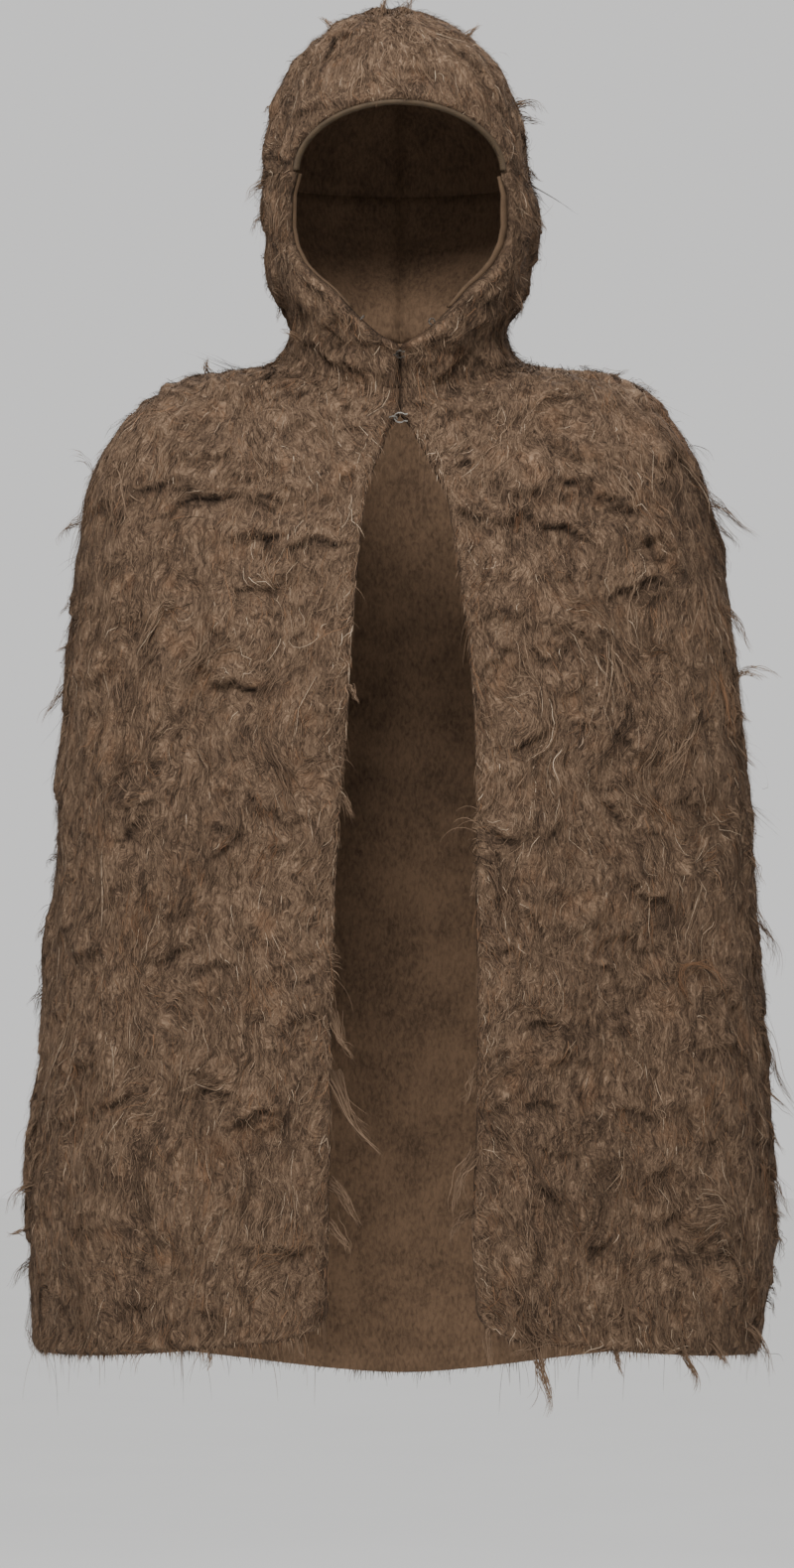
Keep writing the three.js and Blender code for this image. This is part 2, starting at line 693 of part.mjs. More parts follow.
// The directions for a fastener on the centre front, held by the side of that sign.
function centreFrame(z, above, holder) {
  const level = levelAtFrontHeight(z);
  const out = outward(level, 0);
  const past = new THREE.Vector3(-holder, 0, 0);
  return { centre: skin(level, 0).addScaledVector(out, above), past, out, along: past.clone().cross(out) };
}

// The directions for a fastener on the chin edge, in the middle of the wall and just past its edge.
function chinFrame({ z, side, past: clear }) {
  const level = turnedLevel(z, side);
  const at = (l) => ({ level: l, turn: faceEdgeTurn(l, side) });
  const [below, above] = [at(level - 0.1), at(level + 0.1)];
  const { path, past, out } = edgeDirections(side < 0 ? below : above, at(level), side < 0 ? above : below);
  const centre = skin(level, at(level).turn).addScaledVector(out, -wall / 2).addScaledVector(past, clear);
  return { centre, past, out, along: path };
}

// The level at which the face edge has a given height.
function turnedLevel(z, side) {
  let [low, high] = [neckLevel, crownLevel];
  for (let i = 0; i < 40; i++) {
    const middle = (low + high) / 2;
    if (skin(middle, faceEdgeTurn(middle, side)).z < z) low = middle;
    else high = middle;
  }
  return low;
}

function eye(frame, radius, feet) {
  return wire(eyePath(radius, feet), frame.centre, frame, 22);
}

function hook(frame, reachOut, tail, bend = 0) {
  return wire(hookPath(reachOut, tail, bend), frame.centre, frame, 14);
}

const finish = (red, green, blue, roughness, metalness) =>
  new THREE.MeshStandardMaterial({ color: new THREE.Color(red, green, blue), roughness, metalness });
const materials = {
  wool: finish(0.155, 0.101, 0.067, 0.95, 0),
  hoodWool: finish(0.165, 0.11, 0.07, 0.95, 0),
  binding: finish(0.12, 0.082, 0.05, 0.8, 0),
  facing: finish(0.15, 0.095, 0.062, 0.85, 0),
  steel: finish(0.62, 0.6, 0.56, 0.3, 1),
  darkSteel: finish(0.05, 0.045, 0.04, 0.4, 1),
};

const cape = new THREE.Group();
// The lean grows with the height above the crown seam.
function lean(geometry) {
  const places = geometry.attributes.position;
  for (let i = 0; i < places.count; i++) {
    const share = clamp((places.getZ(i) - levels[crownLevel].zFront) / crownHeight, 0, 1);
    places.setX(i, places.getX(i) + crownLean * share ** 2);
  }
  return geometry;
}

function piece(name, geometry, material) {
  const mesh = new THREE.Mesh(lean(geometry), material);
  mesh.name = name;
  cape.add(mesh);
}
piece("cape_front_right", capeFront(-1), materials.wool);
piece("cape_front_left", capeFront(1), materials.wool);
piece("cape_back", capeBack(), materials.wool);
piece("hood_side_right", hoodSide(-1), materials.hoodWool);
piece("hood_side_left", hoodSide(1), materials.hoodWool);
piece("hood_crown_right", hoodCrown(-1), materials.hoodWool);
piece("hood_crown_left", hoodCrown(1), materials.hoodWool);
piece("hood_binding", browBinding(), materials.binding);
piece("hood_facing_right", cheekFacing(-1), materials.facing);
piece("hood_facing_left", cheekFacing(1), materials.facing);
const { neck, collar, chinHook, chinEye } = pair;
const neckFrame = (holder) => centreFrame(neck.z, neck.above, holder);
const collarFrame = (holder) => centreFrame(collar.z, collar.above, holder);
piece("neck_eye", eye(neckFrame(1), neck.radius, 2.2), materials.steel);
piece("neck_hook", hook(neckFrame(-1), -2, 8, 1.1), materials.steel);
piece("collar_eye", eye(collarFrame(1), collar.radius, 1.5), materials.darkSteel);
piece("collar_hook", hook(collarFrame(-1), -0.6, 5), materials.darkSteel);
piece("chin_hook", hook(chinFrame(chinHook), chinHook.radius, 1.5), materials.steel);
piece("chin_eye", eye(chinFrame(chinEye), chinEye.radius, 0.6), materials.steel);

export default cape;
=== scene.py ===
import json
import math

import bpy
import mathutils
import numpy as np
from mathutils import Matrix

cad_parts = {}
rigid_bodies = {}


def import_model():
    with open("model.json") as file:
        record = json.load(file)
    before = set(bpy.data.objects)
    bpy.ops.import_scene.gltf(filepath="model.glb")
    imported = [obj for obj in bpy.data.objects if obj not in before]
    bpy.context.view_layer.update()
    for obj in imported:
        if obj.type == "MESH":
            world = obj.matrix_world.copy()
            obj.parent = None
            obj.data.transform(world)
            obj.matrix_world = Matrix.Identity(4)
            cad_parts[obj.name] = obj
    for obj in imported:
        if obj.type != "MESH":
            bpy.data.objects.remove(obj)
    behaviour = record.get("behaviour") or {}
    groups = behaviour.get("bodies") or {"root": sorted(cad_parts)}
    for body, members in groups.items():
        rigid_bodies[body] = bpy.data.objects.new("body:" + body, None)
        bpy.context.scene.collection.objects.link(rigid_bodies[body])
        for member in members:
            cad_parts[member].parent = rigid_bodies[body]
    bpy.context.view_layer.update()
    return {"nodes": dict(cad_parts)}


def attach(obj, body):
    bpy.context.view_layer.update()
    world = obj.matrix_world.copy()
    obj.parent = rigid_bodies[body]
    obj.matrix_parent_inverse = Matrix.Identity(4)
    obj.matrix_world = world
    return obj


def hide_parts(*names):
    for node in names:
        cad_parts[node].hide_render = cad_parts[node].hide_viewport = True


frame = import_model()

# Rings of the outer face from the hem up: heights at the centre front, side and centre back,
# reach to the wearer's right, left, front and back, and how square the ring is.
ringRows = [
    ("hem", -703, -730, -765, 264, 264, 178, 186, 2.45),
    ("hemRise", -655, -677, -706, 274, 273, 177, 182, 2.45),
    ("thigh", -562, -580, -602, 274, 276.5, 174, 174, 2.45),
    ("wrist", -455, -465, -475, 264, 270.5, 170, 163, 2.45),
    ("hip", -340, -346, -350, 257, 262.5, 166, 154, 2.45),
    ("waist", -224, -228, -228, 250.5, 252.5, 159, 147, 2.4),
    ("bust", -140, -139, -135, 243, 242.5, 146, 140, 2.35),
    ("chest", -95, -80, -75, 233, 229, 128, 133, 2.3),
    ("upperArm", -73, -47, -41, 216, 212.5, 115, 125, 2.25),
    ("shoulder", -58, -23, -17, 194, 191.5, 104, 116, 2.2),
    ("shoulderTop", -48, -9, -1, 172, 171, 97, 107, 2.15),
    ("yoke", -39, -2, 10, 147, 147, 91, 98, 2.1),
    ("yokeTop", -30, 1.5, 19, 119, 118, 86, 88, 2.05),
    ("neckSeam", -20, 6.5, 27, 97, 94, 82, 79, 2),
    ("neck", 0, 26, 45, 85.5, 83, 90, 80, 2),
    ("jaw", 21, 46, 63, 90, 94, 98, 89, 2),
    ("cheek", 52, 70, 84, 100.5, 98.5, 102, 101, 2.05),
    ("ear", 93, 99, 106, 102.5, 104, 103, 112, 2.1),
    ("temple", 123, 123, 124, 105.5, 105.5, 103, 119, 2.1),
    ("crownSeam", 140, 140, 140, 105.5, 100.5, 102, 122, 2.1),
]
ringNames = [row[0] for row in ringRows]
rings = np.array([row[1:] for row in ringRows], float)
rings[:, :7] *= 0.001
zFront, zSide, zBack, rightReach, leftReach, frontDepth, backDepth, power = range(8)
neckLevel = ringNames.index("neckSeam")
crownLevel = ringNames.index("crownSeam")
foldTopLevel = ringNames.index("chest")
crownHeight, crownPower, crownLean = 0.1305, 2.0, -0.006
sideSeamTurn = 96.0
crownBackTurn = sideSeamTurn + (180 - sideSeamTurn) * 8 / 18
archRise = 0.0505
hemCorner = 0.022
widestEdgeTurn = 80.0
seamGap = 0.00002

# The fronts' edges below the neck: height, and distance from the middle on each side.
frontEdges = np.array([
    (-760, 52, 55), (-664, 51.5, 54), (-636, 51.5, 51), (-551, 50, 55), (-459, 49, 56),
    (-388, 47, 54.5), (-317, 42.5, 55.5), (-259, 37.5, 53.5), (-202, 34.5, 49.5), (-144, 30, 41),
    (-100, 25.5, 34.5), (-85, 22.5, 28), (-66, 14.5, 18.5), (-55, 10.5, 12.5), (-47, 8, 8.5),
    (-41, 4, 4.5), (-36, 0, 0), (-20, 0, 0),
]) * 0.001
# The face opening: height and half width.
faceEdges = np.array([
    (-20, 0), (8, 0), (17, 17), (29, 31), (41, 43), (52, 53), (62, 65.5), (72, 75), (86, 82.5),
    (100, 85.5), (124, 84.5), (140, 80),
]) * 0.001
# Soft hanging folds: turn, spread in degrees, depth in millimetres at the hem.
folds = [
    (-97, 7, -7), (-84, 6, 7), (-62, 12, -5), (-34, 9, 4), (30, 8, 4), (55, 12, -5), (80, 8, 5),
    (104, 8, -7), (122, 8, 10), (141, 8, -9), (160, 8, 11), (178, 8, -8), (197, 9, 11),
    (217, 8, -9), (238, 8, 9),
]


# One column of the rings' table at any level, as a smooth curve through its rows.
def column(index, level):
    level = np.clip(level, 0, len(rings) - 1)
    row = np.clip(np.floor(level).astype(int), 0, len(rings) - 2)
    a, b, c, d = (rings[np.clip(row + k, 0, len(rings) - 1), index] for k in (-1, 0, 1, 2))
    s = level - row
    return b + 0.5 * s * (c - a + s * (2 * a - 5 * b + 4 * c - d + s * (3 * (b - c) + d - a)))


# Radius of a rounded square of half width 1 at an angle.
def reach(sine, cosine, squareness):
    total = np.abs(sine) ** squareness + np.abs(cosine) ** squareness
    return 1 / np.maximum(total, 1e-12) ** (1 / squareness)


def foldDepth(level, turn):
    growth = np.clip(1 - level / foldTopLevel, 0, 1) ** 1.2
    total = np.zeros_like(turn)
    for where, spread, depth in folds:
        away = (turn - where + 180) % 360 - 180
        total += growth * depth * 0.001 * np.exp(-((away / spread) ** 2))
    return total


# The outer face without its pile. A turn is in degrees from the front to the wearer's left.
def skin(level, turn):
    level, turn = np.broadcast_arrays(np.asarray(level, float), np.asarray(turn, float))
    sine, cosine = np.sin(np.radians(turn)), np.cos(np.radians(turn))
    ring = np.minimum(level, crownLevel)
    front = cosine > 0
    deep = np.where(front, column(frontDepth, ring), column(backDepth, ring))
    wide = np.where(sine < 0, column(rightReach, ring), column(leftReach, ring))
    radius = reach(sine / wide, cosine / deep, column(power, ring))
    radius = radius + foldDepth(ring, turn)
    centreZ = np.where(front, column(zFront, ring), column(zBack, ring))
    z = column(zSide, ring) + (centreZ - column(zSide, ring)) * cosine ** 2
    rise = np.maximum(level - crownLevel, 0) * (math.pi / 2)
    dome = reach(np.sin(rise), np.cos(rise), crownPower)
    shrink = np.where(level > crownLevel, dome * np.cos(rise), 1)
    z = z + np.where(level > crownLevel, crownHeight * dome * np.sin(rise), 0)
    return np.stack([radius * shrink * sine, -radius * shrink * cosine, z], -1)


def unit(v):
    return v / np.maximum(np.linalg.norm(v, axis=-1, keepdims=True), 1e-12)


# The crown as a flat disc: its middle is the top and its rim the crown seam.
def onDisc(x, y):
    return crownLevel + 1 - np.hypot(x, y), np.degrees(np.arctan2(x, -y))


def discOf(level, turn):
    radius = crownLevel + 1 - level
    return radius * np.sin(np.radians(turn)), -radius * np.cos(np.radians(turn))


# The direction square to the skin, from small steps along it.
def outward(level, turn):
    step, turnStep = 0.01, 0.5
    x, y = discOf(level, turn)
    aroundDome = skin(*onDisc(x + step, y)) - skin(*onDisc(x - step, y))
    upDome = skin(*onDisc(x, y + step)) - skin(*onDisc(x, y - step))
    around = skin(level, turn + turnStep) - skin(level, turn - turnStep)
    up = skin(level + step, turn) - skin(level - step, turn)
    high = (np.asarray(level) > crownLevel - 0.5)[..., None]
    return unit(np.where(high, np.cross(aroundDome, upDome), np.cross(around, up)))


# The last value that is still inside, by halving.
def lastInside(low, high, isInside):
    for _ in range(36):
        middle = (low + high) / 2
        inside = isInside(middle)
        low, high = np.where(inside, middle, low), np.where(inside, high, middle)
    return low


# The turn at which the skin is as far from the middle as an edge is there.
def turnAt(level, side, distanceAt):
    level = np.asarray(level, float)

    def isInside(turn):
        point = skin(level, side * turn)
        return np.abs(point[..., 0]) < distanceAt(point[..., 2])

    return side * lastInside(np.zeros_like(level), np.full_like(level, widestEdgeTurn), isInside)


def frontEdgeTurn(level, side):
    hemZ = skin(0, 0)[2]

    def distance(z):
        above = np.clip(z - hemZ, 0, hemCorner)
        rounded = hemCorner - np.sqrt(hemCorner ** 2 - (hemCorner - above) ** 2)
        edge = np.interp(z, frontEdges[:, 0], frontEdges[:, 1 if side < 0 else 2])
        return np.maximum(edge, seamGap / 2) + rounded

    return turnAt(level, side, distance)


def faceEdgeTurn(level, side):
    return turnAt(level, side, lambda z: np.maximum(
        np.interp(z, faceEdges[:, 0], faceEdges[:, 1]), seamGap / 2))


# The brow's arch, from the crown seam to the middle.
def archPlace(share, side):
    share = np.asarray(share, float)
    angle = share * math.pi / 2
    z = rings[crownLevel, zFront] + archRise * np.sin(angle)
    level = lastInside(np.full_like(share, crownLevel), np.full_like(share, crownLevel + 1.0),
                       lambda level: skin(level, 0 * level)[..., 2] < z)
    half = np.maximum(faceEdges[-1, 1] * np.cos(angle), seamGap / 2)
    return level, turnAt(level, side, lambda _: half)


# Levels by their length along the side, and that length.
def evenLevels(low, high):
    places = np.linspace(low, high, 601)
    lengths = np.linalg.norm(np.diff(skin(places, 90 + 0 * places), axis=0), axis=1)
    lengths = np.concatenate([[0], np.cumsum(lengths)])
    return lambda length: np.interp(length, lengths, places), lengths[-1]


capeAt, capeLength = evenLevels(0, neckLevel)
hoodAt, hoodLength = evenLevels(neckLevel, crownLevel)


def levelAtDrop(drop):
    return float(capeAt(capeLength - drop * 0.001) if drop >= 0 else hoodAt(-drop * 0.001))


wholeTurn = 6.283


# A sum of plane waves with seeded directions, about 1 high.
def waves(points, seed, longest, shortest, count):
    rng = np.random.default_rng(seed)
    total = np.zeros(points.shape[:-1])
    for _ in range(count):
        direction = rng.normal(size=3)
        direction /= np.linalg.norm(direction)
        length = longest * (shortest / longest) ** rng.random()
        total += np.sin(points @ direction * (2 * math.pi / length) + rng.random() * wholeTurn)
    return total / math.sqrt(count / 2)


# The largest ledges of the pile: turn, drop below the neck seam, length, slope, rise (mm, degrees).
bigLedges = [
    (-53, 152, 95, 4, 7), (-36, 190, 70, -10, 6), (-27, 228, 62, -4, 6), (-66, 128, 70, -18, 5),
    (-42, 330, 60, 20, 6), (-58, 420, 75, -14, 6), (-28, 455, 58, 10, 5), (-45, 560, 66, -8, 6),
    (-66, 610, 60, 12, 5), (-30, 660, 70, -6, 6), (33, 178, 85, 14, 7), (52, 150, 80, 26, 6),
    (62, 225, 60, 10, 6), (41, 300, 62, -12, 6), (56, 390, 72, 30, 6), (34, 440, 60, -16, 5),
    (50, 520, 74, 12, 6), (68, 560, 64, 20, 5), (35, 610, 66, -8, 6), (54, 690, 70, 8, 5),
    (-82, -104, 55, -10, 4), (84, -82, 55, 8, 5), (88, -58, 50, -6, 5), (-86, -52, 50, 6, 4),
]
# Sharp cracks on the fronts: across from the middle, height, length, slope up to the wearer's left (mm, degrees),
# and how dark the painted shade below each is.
cracks = [
    (-175, -91, 50, 16, 1.0), (-134, -103, 70, 3, 1.3), (-94, -99, 20, -25, 1.0),
    (-104, -128, 38, 13, 1.1), (-56, -136, 54, 3, 1.0), (-58, -100, 24, 0, 0.6),
    (-101, -163, 38, 13, 0.9), (-116, -237, 34, 6, 1.1), (-194, -334, 34, 38, 1.0),
    (-125, -351, 24, 30, 0.9), (-167, -428, 42, 15, 0.8), (-134, -439, 28, 0, 0.8),
    (-136, -530, 36, -4, 0.9), (-207, -539, 38, 38, 0.8), (-106, -547, 32, 14, 1.0),
    (-192, -683, 26, 8, 0.7), (-138, -688, 22, 0, 0.7),
    (58, -113, 34, -2, 1.0), (83, -112, 26, 24, 1.1), (112, -120, 44, -28, 1.3),
    (128, -86, 22, -4, 1.0), (146, -95, 32, -44, 1.0), (163, -107, 20, 8, 1.0),
    (184, -137, 34, -52, 1.1), (173, -165, 46, 6, 1.1), (48, -74, 12, 0, 0.9),
    (112, -195, 14, -38, 0.8), (101, -213, 16, -38, 0.9), (91, -274, 38, 24, 0.9),
    (135, -264, 24, -18, 0.7), (169, -282, 34, -60, 0.8), (158, -330, 32, -34, 0.9),
    (79, -346, 22, -22, 0.8), (180, -385, 38, -37, 0.9), (99, -407, 20, -45, 0.8),
    (151, -440, 14, -38, 0.8), (108, -480, 26, 0, 0.7), (101, -537, 20, 0, 0.9),
    (173, -545, 26, -10, 0.7), (109, -602, 26, -52, 0.9), (146, -637, 18, 17, 0.9),
    (223, -639, 18, 0, 0.8),
    (-75, -21, 26, 24, 0.7), (70, -12, 24, -30, 0.7), (-52, 22, 22, -40, 0.7), (60, 26, 26, 34, 0.8),
    (-66, 186, 36, 22, 0.9), (-88, 152, 26, -8, 0.8), (-40, 246, 24, 10, 0.7), (52, 226, 30, -42, 0.8),
    (74, 196, 32, -58, 0.8), (18, 216, 22, 6, 0.6), (-20, 206, 20, -12, 0.6), (84, 152, 24, 10, 0.8),
    (-56, 4, 46, -26, 0.8), (-34, -8, 30, -34, 0.7), (38, -4, 32, 30, 0.7), (72, 52, 30, 46, 0.8),
    (-78, 48, 28, -52, 0.8), (-92, 84, 20, -30, 0.7), (94, 96, 24, 12, 0.7),
]
# Tiers of ledges go round the cape; cracks and small ones are scattered.
mat = {
    "tiers": 9, "round": 12, "first": 96, "pitch": 82, "length": 72, "rise": 5,
    "behind": 60, "small": 460, "smallLength": 24, "smallRise": 1.6, "broad": 0.55,
    "above": 0.036, "lip": 0.0035, "hollow": 0.018, "hollowShare": 0.45,
    "high": 0.0065, "low": -0.003, "fade": 0.010,
    "crackRise": 0.0040, "crackAbove": 0.016, "crackLip": 0.0018, "crackHollow": 0.008,
    "crackHigh": 0.0050, "crackLow": -0.0028, "crackLength": 1.5, "floor": -0.0012, "deepest": 0.0016,
}
# How strong the painted shade under cracks and ledges and the painted highlight on their lips are, and how far they
# reach.
paint = {
    "crackDark": 1.2, "crackNear": 0.0021, "crackFar": 0.007, "crackLit": 0.0022,
    "ledgeDark": 0.25, "ledgeFar": 0.005, "ledgeLight": 0.35, "ledgeLit": 0.004, "ledgeRise": 0.006,
}
# Small unevenness of the pile: height, squeeze along Z, seed, longest and shortest wave, count.
unevenness = [
    (0.0006, 1, 3, 0.05, 0.016, 18), (0.0009, 0.24, 5, 0.032, 0.010, 20), (0.0013, 0.45, 9, 0.10, 0.045, 10),
]


# Level and turn of a place seen from the front, in millimetres.
def frontPlace(across, height):
    low, high = neckLevel, crownLevel
    if height < -18:
        low, high = 0, neckLevel
    elif height >= 139:
        low, high = crownLevel, crownLevel + 1
    side = -1 if across < 0 else 1
    for _ in range(24):
        level = np.array([(low + high) / 2])
        turn = turnAt(level, side, lambda z: abs(across) * 0.001 + 0 * z)
        if skin(level, turn)[0, 2] < height * 0.001:
            low = float(level[0])
        else:
            high = float(level[0])
    return float(level[0]), float(turn[0])


# A ledge's middle, the way along its lip, the way down, length, rise, turn and sharpness.
def ledge(level, turn, length, slope, rise, sharp):
    centre = skin(level, turn)
    out = outward(np.array([level]), np.array([float(turn)]))[0]
    flat = unit(np.cross([0, 0, 1], out))
    angle = math.radians(slope)
    lip = flat * math.cos(angle) + np.cross(out, flat) * math.sin(angle)
    return centre, lip, np.cross(lip, out), length * 0.001, rise * 0.001, turn, sharp


# Broad ledges first, then cracks, then small ones all over.
def makeLedges():
    rng = np.random.default_rng(11)
    made = [ledge(levelAtDrop(drop), turn, length, -slope, rise, 0)
            for turn, drop, length, slope, rise in bigLedges]
    for tier in range(mat["tiers"]):
        for i in range(mat["round"]):
            wave, other = math.sin(tier * 12.9 + i * 78.2), math.sin(tier * 39.3 + i * 11.1)
            turn = (i + 0.5 * (tier % 2) + 0.22 * wave) * 360 / mat["round"]
            drop = mat["first"] + mat["pitch"] * (tier + 0.28 * other)
            made.append(ledge(levelAtDrop(drop), turn, mat["length"] * (1 + 0.3 * wave), -16 * other,
                              mat["rise"] * (1 + 0.25 * wave), 0))
    for across, height, length, slope, dark in cracks:
        level, turn = frontPlace(across, height)
        made.append(ledge(level, turn, length * mat["crackLength"], slope, 1000 * mat["crackRise"] * dark, dark))
    for _ in range(mat["behind"]):
        made.append(ledge(levelAtDrop(rng.uniform(20, 790)), rng.uniform(100, 260), rng.uniform(24, 52),
                          rng.normal(0, 20), 1000 * mat["crackRise"] * 0.9, rng.uniform(0.6, 1.0)))
    for _ in range(mat["small"]):
        drop = rng.uniform(-120, 800) if rng.random() < 0.9 else rng.uniform(-150, 20)
        made.append(ledge(levelAtDrop(drop), rng.uniform(-180, 180), mat["smallLength"] * rng.uniform(0.5, 1.6),
                          rng.normal(0, 22), mat["smallRise"] * rng.uniform(0.5, 1.4),
                          rng.uniform(0.15, 0.8) * (0.6 if drop < 0 else 1)))
    return made


ledgeList = makeLedges()


# How far the pile stands out at each point, how much painted shade from a ledge's shadow falls on the point, and how
# much painted highlight from a ledge's lit lip.
def relief(points):
    flat = points.reshape(-1, 3)
    total, shadow, rim = np.zeros((3, len(flat)))
    fine = np.zeros(len(flat))
    for centre, lip, down, length, rise, turn, sharp in ledgeList:
        size = max(length, 0.11) if not sharp else max(length * 0.6, 0.035)
        near = np.flatnonzero((np.abs(flat[:, 2] - centre[2]) < size) & (np.abs(flat[:, 0] - centre[0]) < size))
        near = near[np.abs(flat[near, 1] - centre[1]) < size]
        if not len(near):
            continue
        away = flat[near] - centre
        across = away @ lip / (length / 2)
        keep = np.abs(across) < 1
        near, away, across = near[keep], away[keep], across[keep]
        if sharp:
            bend = length * (0.065 * np.sin(across * 2.6 + turn * 3) + 0.022 * np.sin(across * 8 + turn * 5))
            lipWidth, above, hollow = mat["crackLip"], mat["crackAbove"], mat["crackHollow"]
        else:
            bend = 0.004 * np.sin(across * 7 + turn) + 0.0022 * np.sin(across * 17 + 2 * turn)
            lipWidth, above, hollow = mat["lip"], mat["above"], mat["hollow"]
        below = away @ down - bend
        drop = np.clip(below / lipWidth, 0, 1)
        drop = drop * drop * (3 - 2 * drop)
        lift = np.exp(np.minimum(below, 0) / above) * (1 - drop)
        past = np.maximum(below - lipWidth, 0)
        weight = np.cos(across * math.pi / 2) ** (0.8 if sharp else 1.5)
        lift = lift - mat["hollowShare"] * drop * np.exp(-past / hollow)
        target = fine if sharp else total
        target[near] += rise * (1 if sharp else mat["broad"]) * weight * lift
        # Painted shade below each lip, uneven along a crack, and a painted highlight on the lit lip above; both
        # later colour the felt and the strands.
        if sharp:
            wearAndShade = 0.8 + 0.35 * np.sin(across * 5.1 + turn * 2)
            dark = min(sharp, paint["crackDark"]) * weight * wearAndShade * drop
            dark = dark * (0.9 * np.exp(-past / paint["crackNear"]) + 0.25 * np.exp(-past / paint["crackFar"]))
            lit = min(sharp, 1.0) * weight * (1 - drop) * np.exp(np.minimum(below, 0) / paint["crackLit"])
        else:
            dark = paint["ledgeDark"] * weight * drop * np.exp(-past / paint["ledgeFar"])
            dark = dark * min(rise / paint["ledgeRise"], 1)
            lit = paint["ledgeLight"] * weight * (1 - drop) * np.exp(np.minimum(below, 0) / paint["ledgeLit"])
        shadow[near] = np.maximum(shadow[near], dark)
        rim[near] = np.maximum(rim[near], lit)
    total = np.clip(total, mat["low"], mat["high"]) + np.clip(fine, mat["crackLow"], mat["crackHigh"])
    for height, squeeze, *wave in unevenness:
        total += height * waves(flat * [1, 1, squeeze], *wave)
    # A soft floor keeps the outer face clear of the inner one.
    deep = np.maximum(mat["floor"] - total, 0)
    total = np.maximum(total, mat["floor"]) - mat["deepest"] * np.tanh(deep / 0.0022)
    found = (total, np.clip(shadow, 0, 1), np.clip(rim - shadow, 0, 1))
    return [values.reshape(points.shape[:-1]) for values in found]


# The shell under the pile: its depth, thickness and rounded edges, and how strong and wide its painted shade is
# where the fronts meet and along free edges.
shell = {
    "under": 0.0035, "thick": 0.0042, "edgeRound": 0.006, "meetRound": 0.003, "tuck": 0.0035,
    "swell": 0.0022, "swellFrom": 0.006, "swellOver": 0.014, "meetShade": 0.85, "meetWidth": 0.0012,
    "innerTuck": 0.0012, "edgeShade": 0.45, "edgeWidth": 0.0022,
}
hair = {"swirl": 0.54, "eddy": 0.19, "lock": 0.15, "spread": 0.24}


# What a panel holds at each point: five vectors, then five single values.
placeAt, outAt, flowAt, rowAt, columnAt = (slice(k, k + 3) for k in range(0, 15, 3))
topAt, heightAt, shadowAt, lipHighlightAt, freeAt = range(15, 20)
farOff = 9.0


